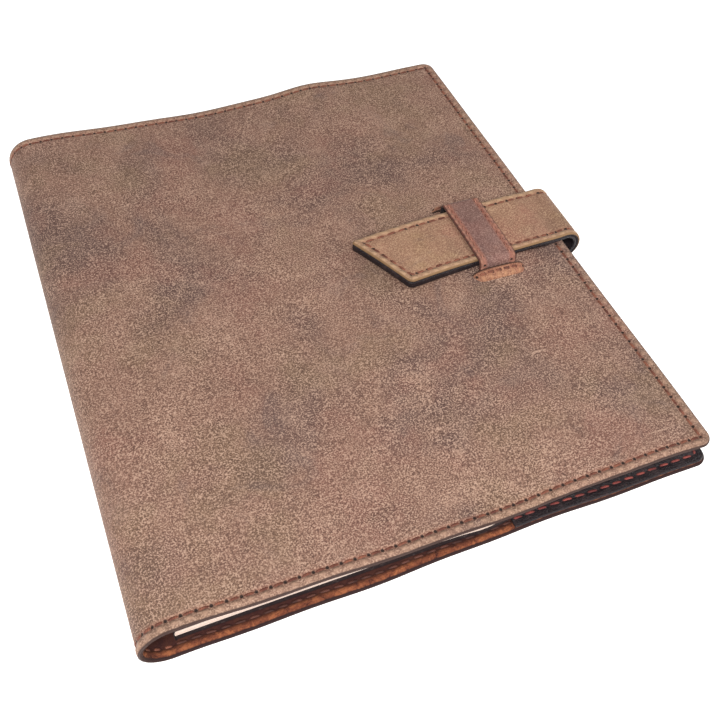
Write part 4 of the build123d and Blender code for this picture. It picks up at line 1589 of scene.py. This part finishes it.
@dataclass
class Keeper:
    """A band over the strap. Its legs go down through two slits, and its feet turn out under the front."""

    surface: CoverSurface
    palette: Palette
    rng: np.random.Generator
    half_span: float = 18.8
    leather: float = 1.4
    top: float = 4.5
    foot: float = 6.0
    row_inset: float = 2.2
    lip_length: float = 24.5
    lip_pitch: float = 3.8
    row_share: float = 0.42
    row_reach: float = 0.86
    line: Route = field(init=False)

    def profile(self) -> Route:
        """Centreline in (across, height): foot, leg, over the strap, leg, foot."""
        out, under, over = self.half_span + self.leather / 2, -LEATHER - 0.65, self.top + self.leather / 2
        return Route([(-out - self.foot, under), (-out, under), (-out + 0.6, over), (out - 0.6, over),
                      (out, under), (out + self.foot, under)], 2.4)

    def place(self, u: Array, v: Array, lift: Array) -> Array:
        """Point of the band, which rides on the cover: its height is a height above the hide.

        Args:
            u: Length along the centreline.
            v: Position across the band, along the strap.
            lift: Distance off the centreline.

        Returns:
            The points.
        """
        across, height = self.line.point(u, lift)
        crown = 0.35 * bump_at(across, 0.0, 14.0) * ease(height, 2.0, 4.5)
        return self.surface.place(self.surface.s_of(KEEPER_X + v), KEEPER_Y + across, height + crown)

    def build(self) -> None:
        """Build the band, its two seams, the stitched lips beside the slits and their tacks."""
        self.line = self.profile()
        half = KEEPER_WIDTH / 2
        u = np.linspace(0.0, self.line.length, 130)
        rim = np.array([0.0, 0.1, 0.25, 0.45, 0.7, 1.1, 1.5, 1.8, 2.0, 2.2, 2.4, 2.7, 3.1, 3.8])
        v = np.concatenate([-half + rim, np.linspace(-2.4, 2.4, 5), half - rim[::-1]])

        def seam(a: Array, b: Array) -> tuple[Array, Array]:
            """Along and across the band's two seams."""
            return a / 3.6, np.abs(b) - (half - self.row_inset)

        def relief(a: Array, b: Array, edge: Array, outer: bool) -> Array:
            """A shallow groove along each seam."""
            return (-0.22 if outer else 0.0) * bump_at(edge, self.row_inset, 0.6)

        slab = Slab(self.place, u, v, -self.leather / 2, self.leather / 2, ALL_RIMS, round=0.5,
                    relief=relief, seam=seam)
        band = slab.build().to_object("keeper_band_leather", [self.palette.keeper] * 2)
        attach(band, "front")
        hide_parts("keeper_band")
        report(band)
        start = self.foot + 7.0
        rows = [StitchRow(self.place, Route([(start, y), (self.line.length - start, y)]),
                          self.leather / 2 - 0.1, self.rng, pitch=3.6, length=2.7, width=0.8, height=0.5,
                          arch=0.35).build()
                for y in (-half + self.row_inset, half - self.row_inset)]
        stitches = Shape.joined(rows).to_object("keeper_stitches", [self.palette.pale_thread])
        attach(stitches, "front")
        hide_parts("keeper_thread")
        report(stitches)
        for name, side in (("near", -1), ("far", 1)):
            self.build_lip(name, side)

    def build_lip(self, name: str, side: int) -> None:
        """The hide's lip beside a slit, raised by the foot below it, and its row of stitches.

        The lip is a shallow mound: its height is the product of a rounded step along the slit and a
        half sine across it.

        Args:
            name: near or far.
            side: -1 towards the near end, 1 towards the far end.
        """
        c = self.surface
        edge = KEEPER_Y + side * (self.half_span + self.leather + 0.1)
        reach = 5.0 if side < 0 else 3.4
        rise = 2.3 if side < 0 else 1.1

        def place(u: Array, v: Array, lift: Array) -> Array:
            """u along the slit from -1 to 1, v away from it from 0 to 1."""
            x = KEEPER_X + u * self.lip_length / 2 * (1.0 - 0.18 * v**2)
            y = edge + side * v * reach
            mound = rise * np.clip(1 - u**4, 0, 1) ** 0.6 * np.cos(np.clip(v, 0, 1) * math.pi / 2) ** 0.9
            sunk = 0.25 * (1 - np.clip(1 - u**4, 0, 1))
            return c.place(c.s_of(x), y, mound * (lift > -0.5) + np.minimum(lift, 0.12) - sunk)

        def seam(a: Array, b: Array) -> tuple[Array, Array]:
            """Along the slit in pitches, and across from the lip's row."""
            return a * self.lip_length / 2 / self.lip_pitch, b * reach - 2.1

        slab = Slab(place, np.linspace(-1, 1, 40), np.linspace(0, 1, 14), -0.9, 0.05, NO_RIMS, round=0.5,
                    seam=seam)
        lip = slab.build().to_object(f"keeper_lip_{name}", [self.palette.lip] * 2, 75.0)
        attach(lip, "front")
        report(lip)
        scale = self.lip_length / 2
        ends = self.row_reach * scale

        def along(a: Array, b: Array, lift: Array) -> Array:
            """The lip's mapping in millimetres."""
            on_lip = place(a / scale, self.row_share + b / reach, np.full_like(a, 0.0))
            return on_lip + np.stack([0 * a, 0 * a, lift], -1)

        row = StitchRow(along, Route([(-ends, 0.0), (ends, 0.0)]), 0.12, self.rng, pitch=self.lip_pitch,
                        length=2.9, arch=0.3).build()
        tack = row.to_object(f"keeper_tack_{name}_stitches", [self.palette.thread])
        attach(tack, "front")
        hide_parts(f"keeper_tack_{name}")
        report(tack)


@dataclass
class Studio:
    """Pale floor, soft lights and the camera."""

    azimuth: float = -23.01
    elevation: float = 51.86
    roll: float = 1.39
    focal: float = 923.7
    image: float = 720.0
    sensor: float = 36.0
    eye: tuple[float, float, float] = (-92.7, -250.8, 300.5)
    floor_z: float = -0.05
    floor_half: float = 9000.0
    sky: float = 0.34

    def build_floor(self) -> None:
        """A large floor, level with the cover's back."""
        line = np.linspace(-self.floor_half, self.floor_half, 3)
        x, y = np.meshgrid(line, line, indexing="ij")
        points = np.stack([x, y, np.full_like(x, self.floor_z)], -1).reshape(-1, 3)
        n = Nodes("studio_floor")
        cloud = n.noise(3.0, 2.0, 0.5)
        colour = n.mix(cloud, (0.94, 0.94, 0.94), (0.97, 0.97, 0.97))
        material = n.finish(Base_Color=colour, Roughness=0.9, Specular_IOR_Level=0.1,
                            Emission_Color=(1.0, 1.0, 1.0), Emission_Strength=0.45)
        floor = Shape(points, grid_quads(3, 3), closed=False).to_object("studio_floor", [material])
        floor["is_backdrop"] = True

    def light(self, name: str, place: tuple[float, float, float], size: float, power: float,
              colour: Colour) -> None:
        """An area light aimed at the middle of the cover.

        Args:
            name: The light's name.
            place: Where it stands, in metres.
            size: Its diameter, in metres.
            power: Its power, in watts.
            colour: Its colour.
        """
        data = bpy.data.lights.new(name, "AREA")
        data.shape = "DISK"
        data.size = size
        data.energy = power
        data.color = colour
        lamp = bpy.data.objects.new(name, data)
        lamp.location = place
        lamp.rotation_euler = (-Vector(place)).to_track_quat("-Z", "Y").to_euler()
        bpy.context.scene.collection.objects.link(lamp)

    def build_lights(self) -> None:
        """An even sky, a broad key from the near left and a fill from the right."""
        world = bpy.data.worlds.new("studio")
        world.use_nodes = True
        shade = world.node_tree.nodes["Background"]
        shade.inputs[0].default_value = (1.0, 0.985, 0.97, 1.0)
        shade.inputs[1].default_value = self.sky
        bpy.context.scene.world = world
        self.light("key", (-0.26, -0.54, 0.62), 0.40, 8.8, (1.0, 0.985, 0.97))
        self.light("fill", (0.70, -0.35, 0.5), 0.5, 3.6, (1.0, 0.99, 0.98))

    def build_camera(self) -> None:
        """The camera: its backward axis comes from azimuth and elevation, then it rolls about it."""
        a, e, r = (math.radians(v) for v in (self.azimuth, self.elevation, self.roll))
        back = Vector((math.sin(a) * math.cos(e), -math.cos(a) * math.cos(e), math.sin(e)))
        level = Vector((math.cos(a), math.sin(a), 0.0))
        upright = back.cross(level)
        right = math.cos(r) * level + math.sin(r) * upright
        up = -math.sin(r) * level + math.cos(r) * upright
        data = bpy.data.cameras.new("camera")
        data.sensor_width = self.sensor
        data.lens = self.focal / self.image * self.sensor
        data.clip_start = 0.01
        data.clip_end = 20.0
        camera = bpy.data.objects.new("camera", data)
        turn = Matrix((right, up, back)).transposed().to_4x4()
        camera.matrix_world = Matrix.Translation(Vector(self.eye) * MM) @ turn
        bpy.context.scene.collection.objects.link(camera)
        bpy.context.scene.camera = camera

    def build(self) -> None:
        """Set up floor, lights, camera and a plain colour transform."""
        self.build_floor()
        self.build_lights()
        self.build_camera()
        view = bpy.context.scene.view_settings
        view.view_transform = "Standard"
        view.look = "None"


def corners(box: tuple[Vector, Vector]) -> list[list[float]]:
    """A box as plain lists of numbers."""
    return [[float(v) for v in corner] for corner in box]


def main() -> None:
    """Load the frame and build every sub-assembly in order."""
    logging.basicConfig(level=logging.INFO, format="%(name)s %(message)s")
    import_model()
    cad_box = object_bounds()
    rng = np.random.default_rng(SEED)
    surface, palette = CoverSurface(), Palette.mixed()
    Hide(surface, palette, rng).build()
    CoverSeams(surface, palette, rng).build()
    Pockets(surface, palette, rng).build()
    Notebook(surface, palette, rng).build()
    Strap(surface, palette, rng).build()
    Keeper(surface, palette, rng).build()
    Studio().build()
    {"cad": corners(cad_box), "visual": corners(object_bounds())}


if __name__ == "__main__":
    main()
